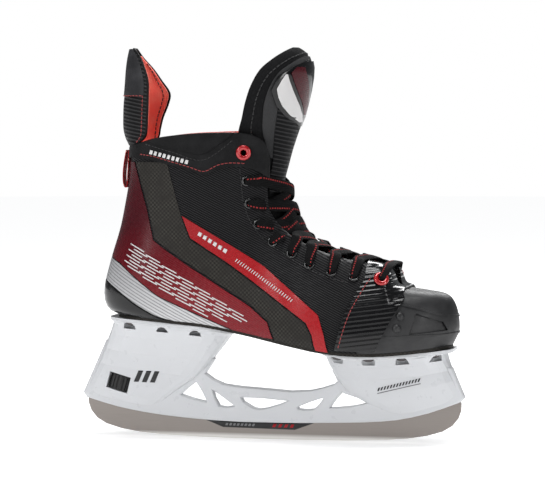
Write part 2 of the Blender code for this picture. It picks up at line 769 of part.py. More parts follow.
def rivet_cutters(name, profile, sides=10):
    """A turned cutter at every rivet, its zero on the boot's underside."""
    bm = bmesh.new()
    for x, y in rivet_places():
        slope = math.atan2(base_z(x + 4) - base_z(x - 4), 8.0)
        place = Matrix.Translation((x, y, base_z(x))) @ Matrix.Rotation(-slope, 4, "Y")
        lathe(bm, profile, sides, place)
    return helper(from_bmesh(name, bm, CUTTERS))


# ---------------------------------------------------------------- blade holder

PLATE_WALL = 3.0
# Tower levels from the lip up: share of the height, heel end x, toe end x, half width.
REAR_LEVELS = [
    (0.06, -158.5, -100, 5.0), (0.14, -158.3, -92, 7.6), (0.27, -154.2, -80, 9.0),
    (0.44, -149.0, -63, 9.8), (0.62, -143.5, -51.5, 13.0), (0.80, -138.0, -42.0, 19.5),
    (0.93, -134.2, -35.5, 25.5),
]
FRONT_LEVELS = [
    (0.06, 100, 158.5, 4.9), (0.22, 84, 157.5, 6.8), (0.42, 64, 154.0, 9.0),
    (0.62, 55.5, 150.3, 14.0), (0.80, 49.5, 147.0, 21.5), (0.92, 47.0, 145.2, 28.0),
]
# The hollows inside the towers, the same way; the last row is at the plate.
REAR_HOLLOW = [(0.62, -136, -62, 8.0), (0.80, -131, -50, 11.5), (0.93, -128, -42, 12.5)]
FRONT_HOLLOW = [(0.62, 62, 140, 8.5), (0.80, 55, 134, 13.5), (0.92, 53, 129, 15.0)]
REAR_PLATE = (-136.5, -30.5, 29.0, 0.0)
FRONT_PLATE = (43.0, 153.0, 35.0, 0.26)
LOOP_POINTS = 20


def level_loop(bm, x0, x1, half, height, taper=0.0, square=4.0):
    """One rounded-rectangle loop of a tower; height gives z from x. Taper narrows the toe end."""
    loop = []
    for i in range(LOOP_POINTS):
        angle = 2 * math.pi * (i + 0.5) / LOOP_POINTS
        c, s = math.cos(angle), math.sin(angle)
        x = (x0 + x1) / 2 + (x1 - x0) / 2 * math.copysign(abs(c) ** (2 / square), c)
        share = (x - x0) / (x1 - x0)
        narrow = 1 - taper * max(share - 0.3, 0) / 0.7
        y = half * narrow * math.copysign(abs(s) ** (2 / square), s)
        loop.append(bm.verts.new((x, y + toe_shift(x) * (half > 12), height(x))))
    return loop


def loft(bm, loops):
    for low, high in zip(loops, loops[1:]):
        for i in range(LOOP_POINTS):
            j = (i + 1) % LOOP_POINTS
            bm.faces.new([low[i], low[j], high[j], high[i]])
    bm.faces.new(loops[0][::-1])
    bm.faces.new(loops[-1])
    bmesh.ops.triangulate(bm, faces=[f for f in bm.faces if len(f.verts) > 4])
    bmesh.ops.recalc_face_normals(bm, faces=bm.faces)


def share_height(share):
    return lambda x: lip_z(x) + (base_z(x) - lip_z(x)) * share


def below_base(drop):
    return lambda x: base_z(x) - drop


def tower(name, levels, plate_size, folder):
    """A tower as a loft from the lip up through its plate, which is trimmed to the boot later."""
    bm = bmesh.new()
    loops = []
    for share, x0, x1, half in levels:
        loops.append(level_loop(bm, x0, x1, half, share_height(share)))
    x0, x1, half, taper = plate_size
    for shrink, drop in ((1.5, PLATE_WALL + 0.2), (0.0, PLATE_WALL - 0.6), (0.0, -3.0)):
        loops.append(
            level_loop(bm, x0 + shrink, x1 - shrink, half - shrink, below_base(drop), taper)
        )
    loft(bm, loops)
    return from_bmesh(name, bm, folder)


def hollow(name, levels, taper, folder):
    """The hollow inside a tower, open through its plate."""
    bm = bmesh.new()
    loops = []
    for share, x0, x1, half in levels:
        loops.append(level_loop(bm, x0, x1, half, share_height(share), taper))
    _, x0, x1, half = levels[-1]
    loops.append(level_loop(bm, x0, x1, half, below_base(-6.0), taper))
    loft(bm, loops)
    return from_bmesh(name, bm, folder)


def web_outline():
    """The side outline of the holder's web: both towers' roots, the bridge and the lip."""
    lip = [(x, lip_z(x)) for x in np.linspace(-158.5, 157.5, 25)]
    over = [
        (160.3, 38.6), (150.5, 62), (140, 66), (60, 62), (52.5, 58.5), (57, 50), (53.5, 46.8),
        (42, 43), (32.5, 40.8), (16.5, 39.9), (0, 41.1), (-26, 42.7), (-41, 44.6), (-50, 48.4),
        (-58, 54), (-50, 66), (-60, 76), (-130, 80), (-141.5, 80), (-161, 36.5),
    ]
    return lip + over


def lock_axis():
    return Vector((math.sin(LOCK_LEAN), 0.0, math.cos(LOCK_LEAN)))


def lock_matrix(along=0.0):
    """The lock's frame: +Z up its axis, moved this far along it from the wheel's middle."""
    place = Vector((LOCK_X, 0.0, LOCK_Z)) + lock_axis() * along
    return Matrix.Translation(place * MM) @ Matrix.Rotation(LOCK_LEAN, 4, "Y")


def slot_outline():
    """The side outline of the runner's slot, with the pockets for its two posts."""
    clear = RUNNER_SUNK + 0.9
    top = [(x, lip_z(x) + clear) for x in (-165, -148)]
    top += [(-139.5, 41.0), (-101.0, 41.0), (-101.0, lip_z(-101) + clear)]
    top += [(x, lip_z(x) + clear) for x in (-78, -52, -27, 0, 24, 50, 75, 100, 116)]
    top += [(125.0, lip_z(125) + clear), (125.0, 46.7), (117.0, 46.7), (117.0, 54.0)]
    top += [(136.0, 54.0), (136.0, lip_z(136) + clear)]
    top += [(x, lip_z(x) + clear) for x in (144, 150, 156, 166)]
    return top[::-1] + [(-165, 5), (166, 5)]


def make_holder(folder, mat):
    windows = [smooth(w, 2, closed=True) for w in BRIDGE_WINDOWS]
    holder = plate("blade_holder", [web_outline(), *windows], WEB_HALF, folder, mat, bevel=0.9)
    for name, levels, size in (
        ("rear_tower", REAR_LEVELS, REAR_PLATE),
        ("front_tower", FRONT_LEVELS, FRONT_PLATE),
    ):
        boolean(holder, helper(tower(name, levels, size, CUTTERS)), "UNION")
    for name, levels, taper in (
        ("rear_hollow", REAR_HOLLOW, 0.0),
        ("front_hollow", FRONT_HOLLOW, 0.35),
    ):
        boolean(holder, helper(hollow(name, levels, taper, CUTTERS)), "DIFFERENCE")
    above = BASE_LINE + [(180, 82), (180, 130), (-170, 130), (-170, 104)]
    boolean(holder, helper(plate("boot_room", [above], 60.0, CUTTERS)), "DIFFERENCE")
    slot = helper(plate("runner_slot", [slot_outline()], SLOT_WALL / 2, CUTTERS))
    boolean(holder, slot, "DIFFERENCE")
    bm = bmesh.new()
    bmesh.ops.create_cube(bm, size=1.0)
    bmesh.ops.scale(bm, vec=(18.8, 60.0, 14.0), verts=bm.verts)
    window = helper(from_bmesh("wheel_window", bm, CUTTERS))
    window.matrix_world = lock_matrix()
    boolean(holder, window, "DIFFERENCE")
    bore = helper(rod("bolt_bore", BOLT_RADIUS + 0.7, -15.6, 24.0, 12, CUTTERS))
    bore.matrix_world = lock_matrix()
    boolean(holder, bore, "DIFFERENCE")
    return holder


def runner_outline():
    """The steel's side outline: the rockered edge, and the top edge with its two posts."""
    toe = list(RUNNER_EDGE)
    heel = [(-x, z) for x, z in RUNNER_EDGE][::-1]
    top = [(x, lip_z(x) + RUNNER_SUNK) for x in (155, 148, 138)]
    top += [(134.0, 32.0), (134.0, 52.0), (119.0, 52.0), (119.0, 47.5), (126.0, 47.5), (126.0, 30.0)]
    top += [(x, lip_z(x) + RUNNER_SUNK) for x in (113, 100, 75, 50, 24, 0, -27, -52, -78, -102)]
    top += [(-103.0, 38.2), (-115.5, 38.2), (-115.5, 33.2), (-108.5, 31.2), (-108.5, 26.6)]
    top += [(x, lip_z(x) + RUNNER_SUNK) for x in (-130, -148, -156)]
    return heel + toe + top


def make_lock(folder, wheel_mat, bolt_mat):
    """The thumb wheel, and the draw bolt whose lip holds the runner's rear post up."""
    teeth = []
    for i in range(WHEEL_TEETH * 2):
        radius = WHEEL_RADIUS if i % 2 else WHEEL_RADIUS - 0.8
        angle = math.pi * i / WHEEL_TEETH
        teeth.append((radius * math.cos(angle), radius * math.sin(angle)))
    bore = [
        ((BOLT_RADIUS + 0.9) * math.cos(a), (BOLT_RADIUS + 0.9) * math.sin(a))
        for a in np.linspace(0, 2 * math.pi, 12, endpoint=False)
    ]
    wheel = plate(
        "lock_wheel", [teeth, bore], WHEEL_HALF, folder, wheel_mat, bevel=0.5,
        at=(LOCK_X, 0.0, LOCK_Z), turn=Matrix.Rotation(LOCK_LEAN, 4, "Y"),
    )
    lip = [
        (-137, 38.4), (-128.5, 36.3), (-118, 33.1), (-110.5, 30.9), (-110.5, 28.2),
        (-118, 30.0), (-137, 35.2),
    ]
    hook = plate("lock_hook", [lip], RUNNER_WALL / 2, folder, bolt_mat)
    shank = helper(rod("lock_shank", BOLT_RADIUS, -9.2, 17.0, 12, CUTTERS))
    shank.matrix_world = lock_matrix()
    boolean(hook, shank, "UNION")
    return wheel, hook


# ---------------------------------------------------------------- assembly


def main():
    global CUTTERS
    for obj in list(bpy.data.objects):
        bpy.data.objects.remove(obj)
    skate = bpy.data.collections.new("hockey_skate")
    CUTTERS = bpy.data.collections.new("cutters")
    for folder in (skate, CUTTERS):
        bpy.context.scene.collection.children.link(folder)

    dark = material("dark_composite", (0.035, 0.035, 0.037), 0.38)
    trim = material("black_synthetic", (0.03, 0.03, 0.032), 0.55)
    gloss = material("patent_black", (0.012, 0.012, 0.013), 0.12)
    cap = material("toe_cap_plastic", (0.045, 0.045, 0.048), 0.5)
    felt = material("tongue_felt", (0.03, 0.03, 0.03), 0.9)
    red = material("red_liner", (0.75, 0.06, 0.05), 0.7)
    white = material("white_nylon", (0.75, 0.76, 0.77), 0.42)
    steel = material("runner_steel", (0.62, 0.58, 0.54), 0.3, 1.0)
    black = material("black_enamel", (0.02, 0.02, 0.02), 0.3, 0.6)
    red_metal = material("red_enamel", (0.6, 0.02, 0.03), 0.2, 0.5)
    lace_mat = material("lace", (0.025, 0.025, 0.026), 0.85)
    foam = material("footbed_foam", (0.1, 0.1, 0.11), 0.85)

    tree = surface_tree()
    seats = make_eyelets(tree, skate, black, red_metal)
    every = [(side, k) for side in (-1, 1) for k in range(len(EYELETS))]
    holes = eyelet_cutters(seats, every)

    shell = boot_wall("quarter_shell", 0.0, SHELL_WALL, False, ahead_of_joint(-0.3), skate, dark, "DIFFERENCE")
    boolean(shell, holes, "DIFFERENCE")
    toe_cap = boot_wall("toe_cap", 0.0, SHELL_WALL, False, ahead_of_joint(0.3), skate, cap)
    recess = boot_wall("cap_recess", -CAP_RECESS_DEPTH, 6.0, True, CAP_RECESS, CUTTERS, None)
    boolean(toe_cap, helper(recess), "DIFFERENCE")
    cuff = boot_wall("collar_cuff", SKIN_GAP, CUFF_WALL, True, CUFF_OUTLINE, skate, trim)
    boolean(cuff, holes, "DIFFERENCE")
    band = boot_wall("vamp_band", BAND_GAP, BAND_WALL, True, BAND_OUTLINE, skate, gloss)
    boolean(band, holes, "DIFFERENCE")
    boot_wall(
        "ankle_liner", -(SHELL_WALL + SKIN_GAP), LINER_WALL, False, liner_outline(), skate, red
    )
    outsole = make_outsole(skate, dark)
    bore = RIVET_SHANK + 0.5
    through = [(0, 5), (bore, 5), (bore, -4), (0, -4)]
    boolean(outsole, rivet_cutters("outsole_holes", through), "DIFFERENCE")
    make_footbed(skate, foam)

    stations = tongue_stations()
    fold = next(i for i, s in enumerate(stations) if s[0].y > TONGUE_FOLD_Z - 3)
    root, _, _, depth = stations[fold]
    hem = (root - Vector((0.2, 0.6)), Vector((-1.0, 0.0)), 31.0, depth)
    make_tongue("tongue_base", [*stations[:fold], hem], skate, felt)
    make_tongue("tongue_flap", stations[fold:], skate, felt)
    make_tongue_patch(stations[fold:], skate, gloss)
    make_lace("lace", lace_route(tree, seats, stations), skate, lace_mat)

    make_guard("tendon_guard", 0.0, 2.6, GUARD_ROWS, 1.0, skate, trim)
    make_guard("tendon_guard_liner", 3.5, 2.4, GUARD_ROWS[:-1], 0.9, skate, red)
    make_heel_tab(skate, red)

    holder = make_holder(skate, white)
    pocket = [
        (0, 3), (bore, 3), (bore, -PLATE_WALL), (POCKET_RADIUS, -PLATE_WALL),
        (POCKET_RADIUS, -PLATE_WALL - POCKET_DEPTH), (0, -PLATE_WALL - POCKET_DEPTH),
    ]
    boolean(holder, rivet_cutters("rivet_pockets", pocket), "DIFFERENCE")
    make_rivets(skate, steel)
    plate("runner", [runner_outline()], RUNNER_WALL / 2, skate, steel)
    make_lock(skate, black, steel)


main()
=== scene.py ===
"""A right-foot ice hockey skate on a plain pale floor.

Metres, +Z up, +X towards the toe, +Y towards the inner side of the foot. Shapes are laid out
in millimetres, and MM turns them into metres where a mesh is made.
"""

import math

import bmesh
import bpy
import numpy as np
from mathutils import Matrix, Vector
from mathutils.bvhtree import BVHTree


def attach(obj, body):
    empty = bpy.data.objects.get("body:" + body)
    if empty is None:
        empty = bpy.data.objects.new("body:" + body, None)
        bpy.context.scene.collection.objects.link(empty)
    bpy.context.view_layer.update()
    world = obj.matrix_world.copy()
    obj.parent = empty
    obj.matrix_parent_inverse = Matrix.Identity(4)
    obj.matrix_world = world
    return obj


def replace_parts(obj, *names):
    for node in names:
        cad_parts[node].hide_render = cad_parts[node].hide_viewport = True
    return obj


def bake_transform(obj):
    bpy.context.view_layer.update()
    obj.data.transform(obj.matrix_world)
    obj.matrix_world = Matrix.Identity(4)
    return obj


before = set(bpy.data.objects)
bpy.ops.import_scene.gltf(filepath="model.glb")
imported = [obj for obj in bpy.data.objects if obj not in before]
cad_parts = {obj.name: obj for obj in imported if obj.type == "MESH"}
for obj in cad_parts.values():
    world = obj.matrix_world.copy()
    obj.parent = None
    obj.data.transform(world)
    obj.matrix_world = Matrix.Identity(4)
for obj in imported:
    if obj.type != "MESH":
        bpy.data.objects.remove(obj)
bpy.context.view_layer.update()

MM = 0.001

# ---------------------------------------------------------------- the CAD's dimensions

SHELL_WALL = 3.0
LINER_WALL = 5.0
SOLE_RISE = 3.3
FOOTBED_WALL = 4.5
TONGUE_WALL = 7.0
PLATE_WALL = 3.0
EYELET_BORE = 2.3

# The boot's underside as (x, z): the face that the blade holder's plates bolt to.
BASE_LINE = [
    (-145, 102.5), (-125, 101.0), (-104, 99.5), (-84, 97.8), (-54, 95.0), (-32, 91.2),
    (-10, 87.0), (11, 82.7), (32, 79.0), (48, 76.2), (65, 74.6), (81, 73.8), (98, 74.0),
    (114, 75.0), (135, 77.0), (160, 80.0),
]
# The boot's outer surface, as ribs from the heel's middle round the outer side to the toe's
# middle: sole (x, half width), top edge (x, half width, z), how far the rib arches over
# instead of standing straight (0 to 1), how square the arch is, and its bulge near the sole.
RIBS = [
    ((-131, 0.0), (-119, 0.0, 243.0), 0.0, 1.0, 12.0),
    ((-128, 14.5), (-116.5, 14.0, 243.5), 0.0, 1.0, 11.0),
    ((-118, 25.0), (-108, 26.0, 245.5), 0.0, 1.0, 8.5),
    ((-103, 30.5), (-92, 35.0, 250.5), 0.0, 1.0, 6.5),
    ((-82, 31.5), (-68, 39.5, 254.0), 0.0, 1.0, 6.0),
    ((-55, 30.0), (-40, 40.0, 255.5), 0.0, 1.0, 5.5),
    ((-30, 29.5), (-14, 36.5, 254.5), 0.05, 1.0, 5.5),
    ((-12, 31.0), (1, 31.5, 246.0), 0.15, 1.0, 5.5),
    ((4, 34.5), (1.5, 28.5, 226.0), 0.3, 1.0, 5.5),
    ((17, 38.5), (-1, 26.5, 206.0), 0.5, 0.95, 5.0),
    ((29, 42.0), (4, 24.0, 188.5), 0.7, 0.95, 5.0),
    ((41, 45.0), (17, 22.0, 173.5), 0.85, 0.9, 4.5),
    ((53, 47.0), (33, 20.0, 163.5), 1.0, 0.9, 4.0),
    ((66, 48.0), (52, 19.0, 156.0), 1.0, 0.9, 4.0),
    ((79, 47.5), (72, 18.0, 151.0), 1.0, 0.85, 4.0),
    ((91, 46.0), (91, 17.0, 147.5), 1.0, 0.75, 4.0),
    ((100, 44.0), (101, 15.0, 143.0), 1.0, 0.65, 4.0),
    ((107, 42.0), (105, 8.0, 131.5), 1.0, 0.55, 4.5),
    ((118, 38.0), (110, 0.0, 128.0), 1.0, 0.48, 4.5),
    ((130, 31.5), (118, 0.0, 126.5), 1.0, 0.45, 5.0),
    ((141, 22.0), (124, 0.0, 125.5), 1.0, 0.43, 5.0),
    ((148.5, 11.5), (128, 0.0, 125.0), 1.0, 0.42, 5.0),
    ((151, 0.0), (130, 0.0, 124.7), 1.0, 0.42, 5.0),
]
# How much of a rib's bulge shows at each height above the sole.
BULGE_SHAPE = [
    (0, 0.0), (3, 0.6), (8, 0.92), (16, 1.1), (28, 1.06), (41, 0.86), (54, 0.62),
    (71, 0.3), (92, 0.08), (112, -0.06), (140, 0.0),
]
TOE_SHIFT = 4.0  # the forefoot curves towards the inner side of the foot

CAP_RECESS = [(121, 92.5), (125.5, 109.5), (146, 102), (149.5, 95)]

# Side outlines, (x, z), of the pieces that are cut from the boot's surface.
JOINT_LINE = [(76, 40), (79.5, 78), (88, 97), (96, 113), (102, 127), (105.5, 137), (107, 190)]
CUFF_OUTLINE = [
    (-150, 235), (-108, 234.5), (-95, 233), (-78, 229), (-61, 224.5), (-48, 220.5),
    (-38, 225.5), (-29, 227.5), (-15, 227.5), (-6.5, 225), (6, 217), (20, 222), (20, 280),
    (-150, 280),
]
BAND_OUTLINE = [
    (61.5, 79.4), (70, 110), (80.5, 130), (84.5, 137), (85, 165), (112, 165), (112, 138),
    (116, 122), (103, 97), (93.5, 78.4),
]
LINER_FRONT = [(36, 91), (24, 120), (-12, 150), (-28, 180), (-32, 215), (-30, 290), (-150, 290)]
LINER_LIFT = 10.0  # the liner's lower edge above the shell's bottom, clear of the footbed

# Turned profiles as (radius, height).
NUB_PROFILE = [
    (0.01, 2.3), (1.4, 2.15), (2.6, 1.6), (3.4, 0.7), (3.7, 0.0), (3.8, -0.8), (0.01, -0.8),
]
RIVET_PROFILE = [
    (0.001, -2.1), (1.2, -2.05), (2.4, -1.8), (3.4, -1.3), (4.1, -0.7), (4.4, -0.1), (4.2, 0.1),
    (2.3, 0.1), (2.3, 5.6), (0.001, 5.6),
]

# Eyelets from the toe up, (x, z). The first and last are the large red ones.
EYELETS = [
    (97.0, 136.0), (75.0, 138.5), (56.8, 142.5), (38.5, 148.5), (23.5, 157.2),
    (7.5, 166.5), (-5.0, 180.5), (-12.5, 197.5), (-14.5, 216.0), (-16.5, 239.3),
]
# The tongue's front along its middle, (x, z), from the toe up, and for the same points its
# half width and how far its edges fall back behind the middle.
TONGUE_LINE = [
    (97, 140.5), (86, 143.5), (73, 146), (57, 149.5), (47, 152.3), (37, 156.5), (27.5, 162.5),
    (19.5, 173), (14.0, 184.5), (10.2, 197), (8.4, 208), (9.0, 218), (12, 229), (15.5, 242),
    (20.5, 257), (24, 267), (27.5, 280), (30.5, 294), (32, 307), (30.5, 316), (27, 322),
    (22, 325.5),
]
TONGUE_HALF = [
    18, 22, 25, 27, 28, 28, 27.5, 26.5, 26, 26, 26, 26, 26.5, 28, 33, 37, 40, 41, 40, 34, 24, 9,
]
TONGUE_DEPTH = [
    9, 12, 15, 18, 20, 22, 24, 27, 30, 33, 35, 37, 38, 40, 42, 42, 42, 40, 34, 23, 12, 3,
]
# Half widths of the tongue's layers at each height, as shares (z, u) of the tongue's own, its
# seam, and its badge and the two fields on it as (z, from u, to u).
COVER_HALF = [
    (232, 0.5), (245, 0.62), (262, 0.72), (280, 0.76), (296, 0.74), (307, 0.66), (315, 0.45),
    (318, 0.2),
]
CENTRE_HALF = [
    (206, 0.45), (225, 0.45), (244, 0.5), (262, 0.55), (280, 0.58), (297, 0.55), (307, 0.45),
    (313, 0.25),
]
SEAM_LINE = [
    (240, 0.72), (256, 0.84), (275, 0.87), (293, 0.86), (306, 0.8), (316, 0.62), (320, 0.3),
    (321.5, 0),
]
BADGE_ROWS = [
    (261, -0.06, 0.06), (268, -0.44, 0.44), (278, -0.62, 0.62), (290, -0.73, 0.73),
    (301, -0.70, 0.70), (309, -0.52, 0.52), (314, -0.2, 0.2),
]
MARK_ROWS = [
    (264, -0.16, -0.05), (270, -0.40, -0.13), (277, -0.54, -0.25), (284, -0.62, -0.36),
    (291, -0.67, -0.45), (298, -0.64, -0.53), (303, -0.61, -0.58),
]
BAR_ROWS = [
    (270, -0.07, 0.04), (279, -0.20, 0.0), (288, -0.34, -0.08), (297, -0.45, -0.16),
    (304, -0.53, -0.24), (309, -0.46, -0.30),
]
# Rows round the tendon guard: z, its back's x, half width, the outer and inner wing's x, and how
# far the wings rise. The skirt joins it to the cuff.
GUARD_ROWS = [
    (244.4, -121.6, 27.0, -108.0, -108.0, 2.6),
    (250.5, -125.0, 28.5, -102.5, -105.0, 1.5),
    (258.0, -127.0, 29.0, -101.0, -104.0, 0.0),
    (268.0, -127.2, 29.0, -100.5, -101.5, 0.0),
    (279.0, -126.8, 29.0, -100.0, -97.0, 0.0),
    (288.0, -125.8, 28.5, -100.0, -95.5, 0.0),
    (298.0, -125.0, 27.0, -100.5, -102.0, 0.0),
    (308.0, -124.2, 24.0, -104.0, -108.5, 0.0),
    (317.0, -123.0, 18.5, -109.0, -115.5, 0.0),
    (324.5, -121.4, 10.0, -116.5, -118.8, 0.0),
]
GUARD_SKIRT = [
    (235.5, -120.6, 25.6, -106.5, -106.5, 2.6),
    (238.5, -120.8, 26.0, -106.8, -106.8, 2.6),
    (242.0, -121.2, 26.6, -107.4, -107.4, 2.6),
    (246.0, -122.2, 27.2, -106.8, -107.2, 2.6),
]
TAPE_LOOP = [
    (-124.0, 240.5), (-125.6, 232), (-126.8, 222), (-126.6, 213), (-125, 209.5), (-123.4, 212),
    (-122.8, 222), (-122.2, 232), (-121.9, 240.5),
]
REAR_RIVETS_X, REAR_RIVETS_Y = (-116, -88, -60), 21.0
FRONT_RIVETS_X, FRONT_RIVETS_Y = (59, 85, 112, 138), (25.0, 26.0, 24.0, 17.5)

# ---------------------------------------------------------------- side outlines of the panels

HEEL_PANEL = [
    (-112, 231), (-99, 192.5), (-93, 167), (-86, 161.5), (-66, 148), (-38, 130), (-11, 113),
    (4, 100.5), (8, 87), (-10, 88), (-27, 93), (-34, 96.5), (-64, 110), (-88, 121), (-103, 132),
    (-123, 147.5), (-135, 152.5), (-150, 156), (-150, 231),
]
SILVER_BAND = [
    (-150, 155), (-135, 151.5), (-123, 146.5), (-103, 131), (-88, 120), (-64, 109), (-34, 95.5),
    (-27, 92), (-40, 91.5), (-67, 97.5), (-90, 103.5), (-109, 114.5), (-124, 125), (-139, 133.5),
    (-150, 136),
]
HEEL_GLOSS = [
    (-150, 134.5), (-139, 132), (-124, 123.5), (-109, 113), (-90, 102), (-67, 96), (-40, 90),
    (-50, 70), (-160, 70),
]
RED_STRIPE = [
    (-68, 187), (-34, 167), (1, 146), (32, 121), (48, 108), (53, 92), (57, 70), (47, 70), (43, 92),
    (38, 101.5), (33, 105), (-1, 128.5), (-30, 149), (-61, 169),
]
CARBON_BAND = [
    (-110.5, 231), (-81, 231), (-75, 208), (-69, 187), (-62, 168), (-31, 148), (-2, 127.5),
    (32, 104),
    (37, 100.5), (42, 91), (45, 70), (8, 70), (9.5, 88), (5, 101.5), (-10, 114.5), (-37, 131.5),
    (-65, 149.5), (-85, 163), (-91.5, 168), (-97.5, 193),
]
UPPER_BEAD = [
    (101, 118.5), (112, 118), (128, 114), (142, 109), (158, 106), (158, 104.6), (142, 107.6),
    (128, 112.6), (112, 116.6), (100.4, 117),
]
LOWER_BEAD = [
    (90, 91), (110, 91.5), (130, 92), (146, 92), (158, 93), (158, 91.4), (146, 90.4), (130, 90.3),
    (110, 89.8), (89.4, 89.2),
]
CUFF_PAD = [(-100, 249), (-60, 261), (-21, 261), (-26, 253), (-49, 237), (-75, 242.5)]


# ---------------------------------------------------------------- lines


def smooth(points, per_span=6, closed=False):
    """Points of a Catmull-Rom curve through these points, of any dimension."""
    p = np.array(points, float)
    n = len(p)
    made = []
    for i in range(n if closed else n - 1):
        if closed:
            a, b, c, d = p[(i - 1) % n], p[i], p[(i + 1) % n], p[(i + 2) % n]
        else:
            a, b, c, d = p[max(i - 1, 0)], p[i], p[i + 1], p[min(i + 2, n - 1)]
        for k in range(per_span):
            t = k / per_span
            made.append(
                0.5 * (2 * b + (c - a) * t + (2 * a - 5 * b + 4 * c - d) * t**2
                       + (3 * b - a - 3 * c + d) * t**3)
            )
    if not closed:
        made.append(p[-1])
    return np.array(made)


def rounded(outline):
    """A closed outline with its corners softened by two rounds of corner cutting."""
    p = np.array(outline, float)
    for _ in range(2):
        q = np.roll(p, -1, axis=0)
        p = np.stack([0.85 * p + 0.15 * q, 0.15 * p + 0.85 * q], axis=1).reshape(-1, 2)
    return p


BASE_FINE = smooth(BASE_LINE)
BULGE_FINE = smooth(BULGE_SHAPE)


def base_z(x):
    """Height of the boot's underside."""
    return float(np.interp(x, BASE_FINE[:, 0], BASE_FINE[:, 1]))


def sole_z(x):
    return base_z(x) + SOLE_RISE


def toe_shift(x):
    """How far the foot's middle lies to the inner side at x."""
    t = min(max((x - 30.0) / 110.0, 0.0), 1.0)
    return TOE_SHIFT * t * t * (3 - 2 * t)


# ---------------------------------------------------------------- materials


class Paint:
    """A material and short calls for the nodes that it is made of. Lengths are millimetres."""

    def __init__(self, name, colour=(0.5, 0.5, 0.5), roughness=0.5, **more):
        self.mat = bpy.data.materials.new(name)
        self.mat.use_nodes = True
        self.tree = self.mat.node_tree
        self.shader = self.tree.nodes["Principled BSDF"]
        self.put("Base Color", (*colour, 1.0))
        self.put("Roughness", roughness)
        for socket, value in more.items():
            self.put(socket.replace("_", " ").title(), value)
        self.place = self.node("ShaderNodeTexCoord").outputs["Object"]

    def join(self, value, socket):
        """Sets a socket to a value, or links it to another node's output."""
        if isinstance(value, bpy.types.NodeSocket):
            self.tree.links.new(value, socket)
        else:
            socket.default_value = value

    def put(self, name, value):
        found = next(s for s in self.shader.inputs if s.name.lower() == name.lower())
        self.join(value, found)

    def node(self, kind, inputs=(), **settings):
        made = self.tree.nodes.new(kind)
        for key, value in settings.items():
            setattr(made, key, value)
        for socket, value in dict(inputs).items():
            self.join(value, made.inputs[socket])
        return made

    def math(self, operation, a, b=0.0, c=0.0):
        return self.node("ShaderNodeMath", {0: a, 1: b, 2: c}, operation=operation).outputs[0]

    def noise(self, size, detail=3.0, rough=0.5, stretch=(1, 1, 1)):
        """Noise with features about this many millimetres across."""
        vector = self.node("ShaderNodeMapping", {"Vector": self.place, "Scale": stretch}).outputs[0]
        return self.node(
            "ShaderNodeTexNoise",
            {"Vector": vector, "Scale": 1000.0 / size, "Detail": detail, "Roughness": rough},
        ).outputs["Fac"]

    def cells(self, size):
        return self.node(
            "ShaderNodeTexVoronoi", {"Vector": self.place, "Scale": 1000.0 / size}
        ).outputs["Distance"]

    def along(self, direction):
        """How far a point lies along this direction, in millimetres."""
        way = Vector(direction).normalized() * 1000.0
        return self.node(
            "ShaderNodeVectorMath", {0: self.place, 1: way}, operation="DOT_PRODUCT"
        ).outputs["Value"]

    def lines(self, direction, pitch, wobble=0.0):
        """A wave from 0 to 1 with this pitch, across this direction."""
        value = self.along(direction)
        if wobble:
            value = self.math("MULTIPLY_ADD", self.noise(wobble * 8), wobble, value)
        turned = self.math("SINE", self.math("MULTIPLY", value, 2 * math.pi / pitch))
        return self.math("MULTIPLY_ADD", turned, 0.5, 0.5)

    def attribute(self, name):
        return self.node("ShaderNodeAttribute", attribute_name=name).outputs["Fac"]

    def ramp(self, value, low, high, start=0.0, end=1.0):
        """This value taken from the range low..high to start..end, and held there."""
        return self.node(
            "ShaderNodeMapRange",
            {"Value": value, "From Min": low, "From Max": high, "To Min": start, "To Max": end},
        ).outputs["Result"]

    def mix(self, share, a, b):
        made = self.node("ShaderNodeMix", data_type="RGBA")
        self.join(share, made.inputs[0])
        for value, socket in ((a, made.inputs[6]), (b, made.inputs[7])):
            self.join((*value, 1.0) if isinstance(value, tuple) else value, socket)
        return made.outputs[2]

    def bump(self, height, depth, under=None):
        """Relief of this depth in millimetres, over an earlier one."""
        inputs = {"Height": height, "Strength": 1.0, "Distance": depth * MM}
        if under is not None:
            inputs["Normal"] = under
        made = self.node("ShaderNodeBump", inputs).outputs["Normal"]
        self.put("Normal", made)
        return made


def composite(name):
    """Brownish woven composite with a satin surface."""
    p = Paint(name, roughness=0.48, specular_ior_level=0.1)
    warp = p.lines((1, 0, 1), 2.4)
    weft = p.lines((1, 0, -1), 2.4)
    twill = p.math("GREATER_THAN", warp, weft)
    weave = p.mix(twill, (0.017, 0.016, 0.014), (0.045, 0.042, 0.037))
    p.put("Base Color", p.mix(p.ramp(p.noise(9), 0.35, 0.7), weave, (0.024, 0.022, 0.020)))
    p.put("Roughness", p.ramp(p.noise(4), 0.3, 0.7, 0.34, 0.5))
    p.bump(p.math("MAXIMUM", warp, weft), 0.12)
    return p.mat


def ribbed(name, colour, direction=(0.62, 0, -0.78), pitch=2.9, depth=0.5):
    """Moulded synthetic with fine parallel ribs, their crests painted lighter as a painted
    highlight.
    """
    p = Paint(name, colour, 0.5, specular_ior_level=0.1)
    ribs = p.lines(direction, pitch, 0.25)
    # The raised rib crests get a lighter colour: a painted highlight.
    crest_highlight = tuple(min(c * 2.2 + 0.024, 1) for c in colour)
    p.put("Base Color", p.mix(p.ramp(ribs, 0.55, 1.0), colour, crest_highlight))
    p.put("Roughness", p.ramp(p.noise(3), 0.3, 0.7, 0.38, 0.58))
    p.bump(p.noise(0.5), 0.05, p.bump(p.ramp(ribs, 0.25, 0.8), depth))
    return p.mat


